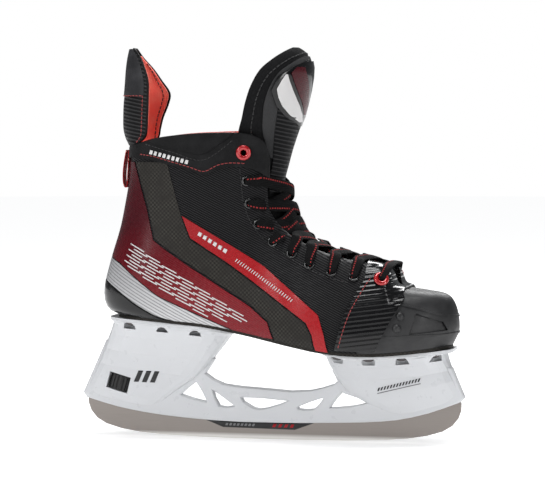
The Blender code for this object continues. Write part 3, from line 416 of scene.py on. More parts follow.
def leather(name, colour, size=1.3, roughness=0.5):
    """Coated synthetic leather with a pebbled grain."""
    p = Paint(name, colour, roughness, specular_ior_level=0.12)
    worn = tuple(min(c * 1.6 + 0.003, 1) for c in colour)
    p.put("Base Color", p.mix(p.ramp(p.noise(14, 5), 0.45, 0.75), colour, worn))
    p.put("Roughness", p.ramp(p.noise(2), 0.3, 0.7, roughness - 0.08, roughness + 0.1))
    p.bump(p.noise(0.35), 0.04, p.bump(p.cells(size), 0.14))
    return p.mat


def patent(name, colour, ridge=0.0):
    """Glossy coated sheet, with moulded ridges where ridge gives their depth."""
    p = Paint(name, colour, coat_weight=0.3, coat_roughness=0.05, specular_ior_level=0.3)
    p.put("Roughness", p.ramp(p.noise(6, 4), 0.3, 0.75, 0.1, 0.24))
    pale = tuple(c * 1.5 + 0.002 for c in colour)
    p.put("Base Color", p.mix(p.ramp(p.noise(2.5, 5), 0.5, 0.8), colour, pale))
    under = p.bump(p.noise(5), 0.1)
    if ridge:
        p.bump(p.lines((-0.12, 0, 1), 3.6), ridge, under)
    return p.mat


def lacquer(name, dark, bright, pitch=0.9, engraved=0.35):
    """Coloured foil under lacquer, brighter towards its lower edge, with fine engraved lines."""
    p = Paint(name, dark, 0.3, coat_weight=0.12, coat_roughness=0.08, specular_ior_level=0.2)
    fall = p.along((0.45, 0, -0.9))
    shade = p.ramp(p.math("ADD", fall, p.math("MULTIPLY", p.noise(22), 14.0)), -205, -125)
    lines = p.lines((0.5, 0, 0.87), pitch)
    tint = p.mix(shade, dark, bright)
    groove = tuple(c * 0.45 for c in dark)
    p.put("Base Color", p.mix(p.ramp(lines, 0.6, 1.0, 0.0, engraved), tint, groove))
    p.put("Roughness", p.ramp(p.noise(3), 0.3, 0.7, 0.2, 0.34))
    p.bump(lines, 0.05)
    return p.mat


def felt(name, colour, fleck):
    """Pressed wool felt: short fibres lying all ways."""
    p = Paint(name, colour, 0.95, sheen_weight=0.02, sheen_roughness=0.5, specular_ior_level=0.08)
    fibres = p.noise(0.7, 6, 0.7, (1, 1, 2.4))
    p.put("Base Color", p.mix(p.ramp(fibres, 0.42, 0.72), colour, fleck))
    p.bump(p.noise(2.5), 0.5, p.bump(fibres, 0.35))
    return p.mat


def knit(name, colour, dark):
    """Knitted lining fabric with rows of small loops."""
    p = Paint(name, colour, sheen_weight=0.3, sheen_roughness=0.4)
    loops = p.math("MULTIPLY", p.lines((0.3, 1, 1), 1.6), p.lines((1, 0.5, -0.4), 1.28))
    p.put("Base Color", p.mix(p.ramp(loops, 0.0, 0.35), dark, colour))
    p.put("Roughness", p.ramp(p.noise(5), 0.3, 0.7, 0.72, 0.9))
    p.bump(p.noise(7), 0.5, p.bump(loops, 0.3))
    return p.mat


def webbing(name, colour, fleck, tracer_line=False):
    """Tightly woven tape or lace, its coloured tracer threads in short dashes."""
    p = Paint(name, colour, 0.75, sheen_weight=0.02, sheen_roughness=0.4, specular_ior_level=0.1)
    braid = p.math("MULTIPLY", p.lines((1, 0.6, 1), 1.1), p.lines((1, -0.6, -1), 1.1))
    if tracer_line:
        off_line = p.math("ABSOLUTE", p.math("SUBTRACT", p.attribute("across"), 0.5))
        middle = p.math("LESS_THAN", off_line, 0.14)
        dash = p.math("SINE", p.math("MULTIPLY", p.attribute("along"), 2 * math.pi / 2.6))
        tracer = p.math("MULTIPLY", middle, p.math("GREATER_THAN", dash, -0.1))
    else:
        tracer = p.math("GREATER_THAN", p.noise(2.2, 1), 0.66)
    woven = p.mix(p.ramp(braid, 0, 0.5), tuple(c * 0.4 for c in colour), colour)
    p.put("Base Color", p.mix(tracer, woven, fleck))
    p.bump(braid, 0.3)
    return p.mat


def plastic(name, colour, roughness=0.4, grain=0.03, worn=0.12):
    """Injection-moulded plastic: a fine spark-eroded grain, a little mottled and scuffed."""
    p = Paint(name, colour, roughness)
    scuffed = tuple(c + (0.5 - c) * worn for c in colour)
    p.put("Base Color", p.mix(p.ramp(p.noise(18, 6, 0.6), 0.48, 0.8), colour, scuffed))
    p.put("Roughness", p.ramp(p.noise(7, 5), 0.3, 0.75, roughness - 0.07, roughness + 0.12))
    p.bump(p.noise(1.6, 2), grain * 2, p.bump(p.noise(0.3), grain))
    return p.mat


def steel(name, colour, roughness, direction=(0.015, 1, 1)):
    """Ground steel with long fine scratches, polished along the lower edge."""
    p = Paint(name, colour, roughness, metallic=1.0)
    scratches = p.noise(0.35, 4, 0.7, direction)
    shade = p.ramp(scratches, 0.3, 0.7, 0.72, 1.05)
    edge = p.ramp(p.along((0, 0, 1)), 2.0, 5.0)
    tone = p.mix(edge, (0.80, 0.78, 0.75), p.mix(shade, tuple(c * 0.7 for c in colour), colour))
    p.put("Base Color", tone)
    p.put("Roughness", p.math("MULTIPLY_ADD", scratches, 0.22, roughness - 0.1))
    p.bump(scratches, 0.012)
    return p.mat


def enamel(name, colour):
    """Painted metal, a little orange-peeled, with its colour rubbed thin in places."""
    p = Paint(name, colour, 0.2, metallic=0.3, coat_weight=0.9, coat_roughness=0.06)
    rubbed = tuple(c * 0.6 + 0.01 for c in colour)
    p.put("Base Color", p.mix(p.ramp(p.noise(2.2, 4), 0.55, 0.8), colour, rubbed))
    p.bump(p.noise(0.9), 0.03)
    return p.mat


def thread(name, colour):
    """Twisted sewing thread."""
    p = Paint(name, colour, 0.6, sheen_weight=0.2)
    twist = p.lines((1, 0.4, -1), 0.5)
    p.put("Base Color", p.mix(twist, tuple(c * 0.55 for c in colour), colour))
    p.bump(twist, 0.08)
    return p.mat


def make_paints():
    return {
        "composite": composite("composite_weave"),
        "shell_ribs": ribbed("shell_ribs", (0.003, 0.003, 0.0035), (0.45, 0, 0.89), 1.7, 0.26),
        "guard_ribs": ribbed("guard_ribs", (0.006, 0.006, 0.0065), (0.2, 0, 1), 3.0, 0.5),
        "leather": leather("black_leather", (0.006, 0.006, 0.0065)),
        "grey_leather": leather("grey_leather", (0.022, 0.022, 0.024), 1.1),
        "patent": patent("patent_sheet", (0.003, 0.003, 0.0035)),
        "coral": leather("coral_leather", (0.98, 0.15, 0.11), 0.6),
        "ridged": patent("ridged_patent", (0.003, 0.003, 0.0035), 0.45),
        "silver": lacquer("silver_foil", (0.28, 0.28, 0.29), (0.56, 0.56, 0.57), 2.5, 0.8),
        "maroon": lacquer("maroon_foil", (0.060, 0.004, 0.008), (0.21, 0.008, 0.014), 1.6, 0.5),
        "red": lacquer("red_foil", (0.30, 0.010, 0.014), (0.36, 0.012, 0.016), 1.3, 0.2),
        "cap": plastic("toe_cap_shell", (0.010, 0.010, 0.011), 0.46, 0.04, 0.03),
        "felt": felt("tongue_felt", (0.006, 0.006, 0.0065), (0.018, 0.018, 0.019)),
        "dark_felt": felt("tongue_cover", (0.036, 0.036, 0.037), (0.062, 0.062, 0.064)),
        "tongue_ribs": ribbed("tongue_ribs", (0.004, 0.004, 0.0045), (0.25, 0, 1), 3.3, 0.6),
        "lining": knit("red_lining", (0.92, 0.12, 0.085), (0.74, 0.075, 0.05)),
        "foam": knit("footbed_cover", (0.10, 0.10, 0.11), (0.04, 0.04, 0.045)),
        "tape": webbing("red_tape", (0.45, 0.02, 0.025), (0.62, 0.25, 0.2)),
        "lace": webbing("lace_weave", (0.006, 0.006, 0.0065), (0.32, 0.03, 0.03), True),
        "nylon": plastic("white_nylon", (0.60, 0.61, 0.63), 0.32, 0.02, 0.06),
        "print": plastic("black_print", (0.006, 0.006, 0.007), 0.35, 0.02, 0.03),
        "steel": steel("ground_steel", (0.31, 0.28, 0.26), 0.36),
        "rivet": steel("rivet_steel", (0.14, 0.13, 0.13), 0.38, (1, 1, 0.3)),
        "black": enamel("black_enamel", (0.004, 0.004, 0.0045)),
        "bright_red": enamel("red_enamel", (0.42, 0.008, 0.012)),
        "wheel": plastic("black_plastic", (0.006, 0.006, 0.0065), 0.36, 0.05, 0.03),
        "red_thread": thread("red_thread", (0.42, 0.03, 0.03)),
        "dark_thread": thread("dark_thread", (0.012, 0.012, 0.013)),
        "pale_print": plastic("pale_print", (0.62, 0.61, 0.61), 0.35, 0.02, 0.05),
        "grey_print": plastic("grey_print", (0.16, 0.16, 0.165), 0.35, 0.02, 0.05),
    }


# ---------------------------------------------------------------- mesh tools

PAINT = make_paints()


def add_object(name, bm, scale=MM):
    """An object from a bmesh, in millimetres unless a scale is given, and the bmesh freed."""
    bmesh.ops.scale(bm, vec=(scale,) * 3, verts=bm.verts)
    mesh = bpy.data.meshes.new(name)
    bm.to_mesh(mesh)
    bm.free()
    obj = bpy.data.objects.new(name, mesh)
    bpy.context.scene.collection.objects.link(obj)
    return obj


def mesh_of(obj):
    """An object's mesh as a bmesh in millimetres."""
    bm = bmesh.new()
    bm.from_mesh(obj.data)
    bmesh.ops.scale(bm, vec=(1000, 1000, 1000), verts=bm.verts)
    return bm


def soften(obj, width, segments=2, sharp=50):
    """Rounds an object's edges that are sharper than this many degrees."""
    edges = obj.modifiers.new("edges", "BEVEL")
    edges.width = width * MM
    edges.segments = segments
    edges.limit_method = "ANGLE"
    edges.angle_limit = math.radians(sharp)


def face(bm, axis=None, outward=1):
    """Makes a bmesh's faces agree, and face this way along an axis if one is given."""
    bmesh.ops.recalc_face_normals(bm, faces=bm.faces)
    if axis is not None and outward * sum(f.normal[axis] for f in bm.faces) < 0:
        bmesh.ops.reverse_faces(bm, faces=bm.faces)


def piece(name, bm, paint, body="boot", wall=0.0, outward=False, round_edges=0.0, smooth_level=0):
    """An object from a bmesh in millimetres, thickened and rounded, riding on a body."""
    obj = add_object(name, bm)
    obj.data.materials.append(PAINT[paint])
    obj.data.shade_smooth()
    if wall:
        shell = obj.modifiers.new("wall", "SOLIDIFY")
        shell.thickness = wall * MM
        shell.offset = 1.0 if outward else -1.0
    if round_edges:
        soften(obj, round_edges, 3)
    if smooth_level:
        finer = obj.modifiers.new("finer", "SUBSURF")
        finer.levels = finer.render_levels = smooth_level
    if body:
        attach(obj, body)
    return obj


def apply_all(obj, sharp=35.0):
    """Replaces an object's mesh by what its modifiers make of it."""
    graph = bpy.context.evaluated_depsgraph_get()
    mesh = bpy.data.meshes.new_from_object(obj.evaluated_get(graph))
    obj.modifiers.clear()
    obj.data = mesh
    mesh.shade_smooth()
    mesh.set_sharp_from_angle(angle=math.radians(sharp))
    return obj


def fill_grid(bm, grid, closed=False):
    """Quads between rows of vertices."""
    for low, high in zip(grid, grid[1:]):
        count = len(low)
        for k in range(count if closed else count - 1):
            j = (k + 1) % count
            corners = list(dict.fromkeys([low[k], low[j], high[j], high[k]]))
            if len(corners) > 2:
                bm.faces.new(corners)


def outline_prism(outline, reach=130.0):
    """A side-view outline as a closed prism that reaches this far to both sides."""
    bm = bmesh.new()
    ends = [[bm.verts.new((x, y, z)) for x, z in outline] for y in (-reach, reach)]
    fill_grid(bm, ends, closed=True)
    bm.faces.new(ends[0][::-1])
    bm.faces.new(ends[1])
    face(bm)
    return bm


def cut(obj, bm, operation="DIFFERENCE", crossing=False):
    """Cuts an object, in place, with a bmesh in millimetres. Crossing is for a wall that folds
    through itself at a sharp edge."""
    tool = add_object("cutter", bm)
    change = obj.modifiers.new("cut", "BOOLEAN")
    change.object = tool
    change.operation = operation
    change.solver = "EXACT"
    change.use_self = crossing
    apply_all(obj)
    bpy.data.objects.remove(tool)


def tube(bm, points, radius, sides):
    """A round tube along these points, its ends closed."""
    points = [Vector(p) for p in points]
    rings = []
    up = Vector((0.31, 0.77, 0.55))
    for i, p in enumerate(points):
        along = (points[min(i + 1, len(points) - 1)] - points[max(i - 1, 0)]).normalized()
        side = along.cross(up).normalized()
        up = side.cross(along)
        turns = [2 * math.pi * k / sides for k in range(sides)]
        rings.append([
            bm.verts.new(p + side * radius * math.cos(a) + up * radius * math.sin(a)) for a in turns
        ])
    for low, high in zip(rings, rings[1:]):
        for k in range(sides):
            j = (k + 1) % sides
            bm.faces.new([low[k], low[j], high[j], high[k]])
    bm.faces.new(rings[0][::-1])
    bm.faces.new(rings[-1])


def turn_profile(bm, profile, sides, place):
    """A ring or knob from a closed (radius, height) profile, placed by a matrix."""
    rings = []
    for r, z in profile:
        rings.append([
            bm.verts.new(place @ Vector((
                r * math.cos(2 * math.pi * k / sides), r * math.sin(2 * math.pi * k / sides), z
            )))
            for k in range(sides)
        ])
    if profile[0][0] > 0.01:
        rings.append(rings[0])
    fill_grid(bm, rings, closed=True)


def facing(normal):
    return Vector(normal).to_track_quat("Z", "Y").to_matrix().to_4x4()


# ---------------------------------------------------------------- the boot's surface

STEPS = [0, 0.02, 0.045, 0.08, 0.12, 0.17, 0.22, 0.28, 0.34, 0.40, 0.46, 0.52, 0.58, 0.64,
         0.70, 0.76, 0.82, 0.88, 0.94, 1.0]


def rib_point(rib, step):
    """A point of one rib on the outer side, before the toe's shift: x, half width, z."""
    (sx, sy), (tx, ty, tz), arch, square, bulge = rib
    sz = sole_z(sx)
    angle = step * math.pi / 2
    over = math.cos(angle) ** square if step < 1 else 0.0
    up = math.sin(angle) ** square
    across = (1 - arch) * (1 - step) + arch * over
    rise = (1 - arch) * step + arch * up
    x = tx + (sx - tx) * across
    y = ty + (sy - ty) * across
    z = sz + (tz - sz) * rise
    out = bulge * float(np.interp(z - sz, BULGE_FINE[:, 0], BULGE_FINE[:, 1]))
    if arch > 0.5:
        out *= 1 - step
    middle = min(max(sx, -100.0), 104.0)
    away = Vector((sx - middle, sy if abs(sx - middle) < 1e-6 else sy * 0.9, 0.0))
    if away.length < 1e-6:
        away = Vector((1.0, 0.0, 0.0))
    away.normalize()
    return x + away.x * out, y + away.y * out, z


def boot_columns():
    """Columns of points round the whole boot, from the heel along the outer side, round the toe
    and back along the inner side."""
    inner = np.array([[rib_point(rib, s) for s in STEPS] for rib in RIBS])
    outer = inner * (1, -1, 1)
    loop = np.concatenate([outer, inner[-2:0:-1]])
    fine = smooth(loop.reshape(len(loop), -1), 4, closed=True)
    return fine.reshape(len(fine), len(STEPS), 3)


def boot_surface(offset=0.0):
    """The boot's outer surface as a bmesh, moved along its normals by the offset."""
    bm = bmesh.new()
    columns = boot_columns()
    grid = [[bm.verts.new((x, y + toe_shift(x), z)) for x, y, z in c] for c in columns]
    count = len(grid)
    for i in range(count):
        left, right = grid[i], grid[(i + 1) % count]
        for k in range(len(STEPS) - 1):
            bm.faces.new([left[k], right[k], right[k + 1], left[k + 1]])
    for i in range(count // 2):
        a, b = grid[i][0], grid[i + 1][0]
        c, d = grid[(count - i - 1) % count][0], grid[(count - i) % count][0]
        corners = list(dict.fromkeys([a, b, c, d]))
        if len(corners) > 2:
            bm.faces.new(corners)
    bmesh.ops.remove_doubles(bm, verts=bm.verts, dist=0.02)
    bmesh.ops.recalc_face_normals(bm, faces=bm.faces)
    if sum(f.normal.y * f.calc_center_median().y for f in bm.faces) < 0:
        bmesh.ops.reverse_faces(bm, faces=bm.faces)
    bm.normal_update()
    if offset:
        for v, way in [(v, v.normal.copy()) for v in bm.verts]:
            v.co += way * offset
    return bm


BOOT = BVHTree.FromBMesh(boot_surface())


def on_boot(x, z, side, lift=0.0):
    """Where a line along Y meets the boot's side, moved out by lift, and the normal there."""
    start = Vector((x, side * 200.0, z))
    place, normal, _, _ = BOOT.ray_cast(start, Vector((0, -side, 0)))
    if place is None:
        place, normal, _, _ = BOOT.find_nearest(Vector((x, side * 40.0, z)))
    if normal.y * side < 0:
        normal = -normal
    return place + normal * lift, normal


def boot_piece(name, paint, offset, wall, outline=None, edges=0.0, outward=True):
    """A layer of the boot's wall, cut to a side outline where one is given."""
    made = piece(name, boot_surface(offset), paint, wall=wall, outward=outward)
    apply_all(made)
    if outline is not None:
        cut(made, outline_prism(outline), "INTERSECT", crossing=True)
    if edges:
        soften(made, edges, sharp=55)
    return made


def stitches(name, paths, paint, length=2.2, gap=1.2, radius=0.35, body="boot"):
    """Stitches, each a short thread sunk at its ends, along paths of (place, normal) in mm."""
    bm = bmesh.new()
    for path in paths:
        places = [Vector(p) for p, _ in path]
        normals = [Vector(n) for _, n in path]
        steps = [(b - a).length for a, b in zip(places, places[1:])]
        marks = np.concatenate([[0], np.cumsum(steps)])
        flat = np.array([tuple(p) + tuple(n) for p, n in zip(places, normals)])

        def at(s):
            row = [float(np.interp(s, marks, flat[:, k])) for k in range(6)]
            return Vector(row[:3]), Vector(row[3:]).normalized()

        start = 0.6
        while start + length < marks[-1]:
            line = []
            for t, sink in ((0, -0.35), (0.18, 0.05), (0.5, 0.15), (0.82, 0.05), (1, -0.35)):
                place, normal = at(start + t * length)
                line.append(place + normal * sink)
            tube(bm, line, radius, 6)
            start += length + gap
    return piece(name, bm, paint, body=body)


def side_path(outline, side, lift):
    """A path for stitches on the boot's side from a side-view line."""
    return [on_boot(x, z, side, lift) for x, z in smooth(outline, 8)]


# ---------------------------------------------------------------- the boot's pieces


def ahead_of_joint(gap):
    line = smooth(JOINT_LINE, 4)
    return [(x + gap, z) for x, z in line] + [(200, 190), (200, 40)]


def eyelet_seats():
    seats = {}
    last = len(EYELETS) - 1
    for side in (-1, 1):
        for k, (x, z) in enumerate(EYELETS):
            lift = {0: 2.4, 6: 0.5, last: 2.2}.get(k, 0.0)
            place, normal = on_boot(x, z, side)
            seats[side, k] = (place, normal, lift)
    return seats


SEATS = eyelet_seats()


def eyelet_holes():
    bm = bmesh.new()
    for place, normal, _ in SEATS.values():
        bmesh.ops.create_cone(
            bm, cap_ends=True, segments=20, radius1=3.3, radius2=3.3, depth=16.0,
            matrix=Matrix.Translation(place) @ facing(normal),
        )
    return bm


def make_boot():
    shell = boot_piece("shell_skin", "shell_ribs", 0.0, SHELL_WALL, outward=False)
    cut(shell, outline_prism(ahead_of_joint(-0.3)))
    cut(shell, eyelet_holes())
    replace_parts(shell, "quarter_shell")

    boot_piece("carbon_band", "composite", 0.05, 0.45, CARBON_BAND, 0.15)
    boot_piece("heel_panel", "maroon", 0.1, 0.6, HEEL_PANEL, 0.2)
    boot_piece("silver_band", "silver", 0.1, 0.5, rounded(SILVER_BAND), 0.15)
    boot_piece("heel_counter", "patent", 0.1, 0.7, rounded(HEEL_GLOSS), 0.2)
    boot_piece("red_stripe", "red", 0.5, 0.7, RED_STRIPE, 0.2)

    cuff = boot_piece("collar_skin", "leather", 0.4, 1.8, CUFF_OUTLINE)
    cut(cuff, eyelet_holes())
    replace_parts(cuff, "collar_cuff")
    boot_piece("cuff_pad", "leather", 2.15, 1.5, rounded(CUFF_PAD), 0.7)
    band = boot_piece("vamp_patent", "ridged", 0.7, 1.7, BAND_OUTLINE)
    cut(band, eyelet_holes())
    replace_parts(band, "vamp_band")

    lower = [(x, sole_z(x) + LINER_LIFT) for x in np.linspace(-150, 34, 12)]
    liner = boot_piece(
        "ankle_padding", "lining", -(SHELL_WALL + 0.4), LINER_WALL,
        lower + smooth(LINER_FRONT, 3).tolist(), 1.2, outward=False,
    )
    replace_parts(liner, "ankle_liner")


def make_toe_cap():
    """The moulded cap, with a sunk field on each side, two nubs, and beads along its edges."""
    cap = piece("toe_cap_skin", boot_surface(), "cap", wall=SHELL_WALL)
    apply_all(cap)
    cut(cap, outline_prism(ahead_of_joint(0.3)), "INTERSECT")
    room = boot_piece("cap_room", "cap", -1.7, 6.0, CAP_RECESS)
    recess = mesh_of(room)
    bpy.data.objects.remove(room)
    cut(cap, recess)
    soften(cap, 0.35)
    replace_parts(cap, "toe_cap")
    boot_piece("cap_upper_bead", "cap", 0.0, 0.7, UPPER_BEAD, 0.25)
    boot_piece("cap_lower_bead", "cap", 0.0, 0.6, LOWER_BEAD, 0.25)
    nubs = bmesh.new()
    for side in (-1, 1):
        for x, z in ((113.7, 107.5), (111.3, 97.7)):
            place, normal = on_boot(x, z, side, -0.2)
            turn_profile(nubs, NUB_PROFILE, 20, Matrix.Translation(place) @ facing(normal))
    face(nubs)
    piece("cap_nubs", nubs, "cap")


def decal(name, shapes, paint, tree, lift, wall=0.12, body="boot"):
    """Thin printed shapes laid onto both sides of a surface. A shape is four corners (x, z), and
    is sampled finely so that it follows the surface."""
    bm = bmesh.new()
    for side in (-1, 1):
        for a, b, c, d in [[Vector(p) for p in shape] for shape in shapes]:
            grid = []
            for v in np.linspace(0, 1, 4):
                row = []
                for u in np.linspace(0, 1, 9):
                    x, z = a.lerp(b, u).lerp(d.lerp(c, u), v)
                    place, normal, _, _ = tree.ray_cast((x, side * 200.0, z), (0, -side, 0))
                    if place is None:
                        break
                    if normal.y * side < 0:
                        normal = -normal
                    row.append(place + normal * lift)
                if len(row) == 9:
                    grid.append(row)
            if len(grid) == 4:
                fill_grid(bm, [[bm.verts.new(p) for p in row] for row in grid])
    face(bm)
    for f in bm.faces:
        f.normal_update()
        if f.normal.y * f.calc_center_median().y < 0:
            f.normal_flip()
    return piece(name, bm, paint, body=body, wall=wall, outward=True)


def bars(start, end, count, tall, lean, share=0.55):
    """A row of leaning bars between two side-view places."""
    start, end = Vector(start), Vector(end)
    step = (end - start) / count
    up = Vector((lean, 1.0)).normalized() * tall
    lows = [(start + step * i, start + step * (i + share)) for i in range(count)]
    return [(a, b, b + up, a + up) for a, b in lows]


def rule(start, along, thick):
    """A thin rule from a side-view place."""
    start, along = Vector(start), Vector(along)
    up = Vector((-along.y, along.x)).normalized() * thick
    return start, start + along, start + along + up, start + up


def make_boot_print():
    """Plain hatching in place of any lettering."""
    heel = []
    for row in range(8):
        odd = row % 2
        for k in range(7 - row // 3):
            x, z = -113 + 14.0 * k - 0.9 * row + 4 * odd, 163 - 8.6 * k - 2.3 * row - 2 * odd
            heel.append(rule((x, z), (12.5, -6.4), 0.9))
    decal("heel_hatch", heel, "pale_print", BOOT, 0.8)
    stripe = bars((-55, 171.5), (-30, 155.5), 6, 3.2, 0.5, 0.6)
    stripe += bars((-24, 150), (26, 117), 26, 3.0, 0.9, 0.3)
    decal("stripe_hatch", stripe, "pale_print", BOOT, 1.3)
    collar = bars((-95, 238), (-61, 229.5), 9, 3.4, 0.35, 0.62)
    decal("collar_hatch", collar, "pale_print", BOOT, 3.0)


def make_stitching():
    def both_sides(line, lift):
        return [side_path(line, side, lift) for side in (-1, 1)]

    cuff_low = [
        (-104, 237.5), (-92, 236), (-77, 232), (-61, 227.5), (-49, 224), (-38, 229), (-28, 231),
        (-14, 230.5),
    ]
    throat = [
        (-20, 230), (-19, 216), (-17, 198), (-11, 182), (0, 168), (17, 157), (34, 147),
        (54, 138.5), (72, 134),
    ]
    vamp = [(65, 82), (73.5, 109), (84, 129), (89, 137)]
    pad_low = [(-99, 246), (-75, 239.5), (-49, 233.5), (-23, 251)]
    stitches("red_stitching", both_sides(cuff_low, 2.4) + both_sides(vamp, 2.5), "red_thread")
    dark = both_sides(throat, 0.1) + both_sides(pad_low, 2.3)
    stitches("throat_stitching", dark, "dark_thread", 2.0, 1.2, 0.3)


def make_eyelets():
    """Turned rings with a rolled rim."""
    for paint, big in (("black", False), ("bright_red", True)):
        bm = bmesh.new()
        stands = []
        for (side, k), (place, normal, lift) in SEATS.items():
            if (k in (0, len(EYELETS) - 1)) != big:
                continue
            rim, top = (6.3, 2.2) if big else (4.3, 1.5)
            middle, half = (EYELET_BORE + rim) / 2, (rim - EYELET_BORE) / 2
            foot = -SHELL_WALL - lift
            arc = [
                (middle + half * math.cos(a), 0.55 + (top - 0.55) * math.sin(a))
                for a in np.linspace(math.pi, 0, 9)
            ]
            profile = [(EYELET_BORE, foot), *arc, (rim, 0.1), (2.9, 0.1), (2.9, foot)]
            seat = Matrix.Translation(place + normal * lift) @ facing(normal)
            turn_profile(bm, profile, 28, seat)
            stands.append(f"eyelet_{'outer' if side < 0 else 'inner'}_{k + 1:02d}")
        face(bm)
        rings = piece("eyelets_large" if big else "eyelets_small", bm, paint)
        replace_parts(rings, *stands)


def make_footbed():
    bm = bmesh.new()
    shares = np.linspace(-1, 1, 15)
    ribs = smooth([(x, half) for (x, half), *_ in RIBS[1:-1]], 2)
    grid = []
    for x, half in ribs:
        place = x + 2.2 * (1 if x < -100 else -1 if x > 115 else 0)
        half = max(half - 2.4, 1.0)
        low = sole_z(place) + SHELL_WALL + 0.5
        row = []
        for share in shares:
            cup = 1.6 * abs(share) ** 4 * (1.0 if place < 20 else 0.4)
            y, z = share * half + toe_shift(place), low + FOOTBED_WALL - 0.4 + cup
            row.append(bm.verts.new((place, y, z)))
        grid.append(row)
    fill_grid(bm, grid)
    face(bm, 2)
    pad = piece("footbed_pad", bm, "foam", wall=FOOTBED_WALL - 0.6, round_edges=0.8)
    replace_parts(pad, "footbed")


# ---------------------------------------------------------------- tongue


def tongue_stations():
    """(middle point, inward direction, half width, depth) down the tongue's length."""
    table = smooth([(*p, h, d) for p, h, d in zip(TONGUE_LINE, TONGUE_HALF, TONGUE_DEPTH)], 4)
    made = []
    for i, (x, z, half, depth) in enumerate(table):
        before, after = table[max(i - 1, 0)][:2], table[min(i + 1, len(table) - 1)][:2]
        along = Vector((after[0] - before[0], after[1] - before[1])).normalized()
        inward = Vector((-along.y, along.x))
        level = min(max((z - 235) / 20, 0), 1)
        inward = inward.lerp(Vector((-1.0, 0.0)), level).normalized()
        made.append((Vector((x, z)), inward, half, depth))
    return made


STATIONS = tongue_stations()


def tongue_point(station, u, lift=0.0):
    """A point on the tongue's front, u from -1 on the outer side to 1 on the inner side."""
    middle, inward, half, depth = station
    angle = u * math.pi / 2
    flat = middle + inward * (depth * (1 - math.cos(angle)) - lift * math.cos(angle * 0.6))
    return Vector((flat.x, (half + lift) * math.sin(angle) + toe_shift(flat.x), flat.y))


def tongue_at(z, u, lift=0.0):
    """A point on the tongue's front at a height, above its fold."""
    heights = [s[0].y for s in STATIONS]
    i = max(k for k in range(len(heights) - 1) if heights[k] <= z)
    t = (z - heights[i]) / (heights[i + 1] - heights[i])
    return tongue_point(STATIONS[i], u, lift).lerp(tongue_point(STATIONS[i + 1], u, lift), t)


def tongue_layer(name, rows, lift, wall, paint, edges=0.3):
    """A layer on the tongue's front from rows of (z, from u, to u)."""
    bm = bmesh.new()
    fill_grid(bm, [
        [bm.verts.new(tongue_at(z, u, lift)) for u in np.linspace(u0, u1, 17)] for z, u0, u1 in rows
    ])
    face(bm, 0)
    made = piece(name, bm, paint, body=None, wall=wall, outward=True, round_edges=edges)
    return apply_all(made, 50)


def fold(obj):
    """Bakes a piece's placement into its mesh."""
    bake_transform(obj)


def make_tongue():
    bm = bmesh.new()
    across = np.linspace(-1, 1, 25)
    fill_grid(bm, [[bm.verts.new(tongue_point(s, u)) for u in across] for s in STATIONS])
    face(bm, 0)
    body = piece("tongue_felt", bm, "felt", body=None, wall=TONGUE_WALL, round_edges=2.4)
    apply_all(body, 60)
    fold(body)
    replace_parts(body, "tongue_base", "tongue_flap")

    for name, half, lift, wall, paint in (
        ("tongue_cover", COVER_HALF, 0.1, 0.9, "dark_felt"),
        ("tongue_centre", CENTRE_HALF, 1.0, 0.7, "tongue_ribs"),
    ):
        fold(tongue_layer(name, [(z, -u, u) for z, u in smooth(half, 4)], lift, wall, paint))
    patch = tongue_layer("tongue_badge", BADGE_ROWS, 1.6, 1.2, "patent", 0.4)
    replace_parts(patch, "tongue_patch")
    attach(patch, "tongue_top")
    for name, rows, paint in (
        ("badge_mark", MARK_ROWS, "pale_print"), ("badge_bar", BAR_ROWS, "maroon"),
    ):
        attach(tongue_layer(name, rows, 2.8, 0.4, paint, 0.1), "tongue_top")

    paths = []
    for side in (-1, 1):
        line = []
        for z, u in smooth(SEAM_LINE, 5):
            place, inside = (tongue_at(min(z, 321), side * u, lift) for lift in (0.2, -4.0))
            line.append((place, (place - inside).normalized()))
        paths.append(line)
    fold(stitches("tongue_stitching", paths, "dark_thread", 2.6, 1.5, 0.45, body=None))


# ---------------------------------------------------------------- tendon guard


def guard_point(row, u, inset=0.0):
    """A point round the guard, u from -1 (outer wing) to 1 (inner wing)."""
    z, back, half, outer, inner, rise = row
    reach = (outer if u < 0 else inner) - back
    angle = abs(u) * math.pi / 2
    x = back + inset + (reach - inset * 0.4) * (1 - math.cos(angle)) ** 0.9
    y = (half - inset) * math.sin(angle) * (1 if u > 0 else -1)
    return Vector((x, y, z + rise * (1 - math.cos(angle))))


def guard_layer(name, rows, u0, u1, inset, wall, paint, edges, outward=False, body="guard"):
    """A layer round the guard between two shares of its half width, set in from its face."""
    bm = bmesh.new()
    shares = np.linspace(u0, u1, 33)
    fill_grid(bm, [[bm.verts.new(guard_point(r, u, inset)) for u in shares] for r in rows])
    face(bm, 0, -1)
    made = piece(name, bm, paint, body=body, wall=wall, outward=outward, round_edges=edges)
    return apply_all(made, 50)


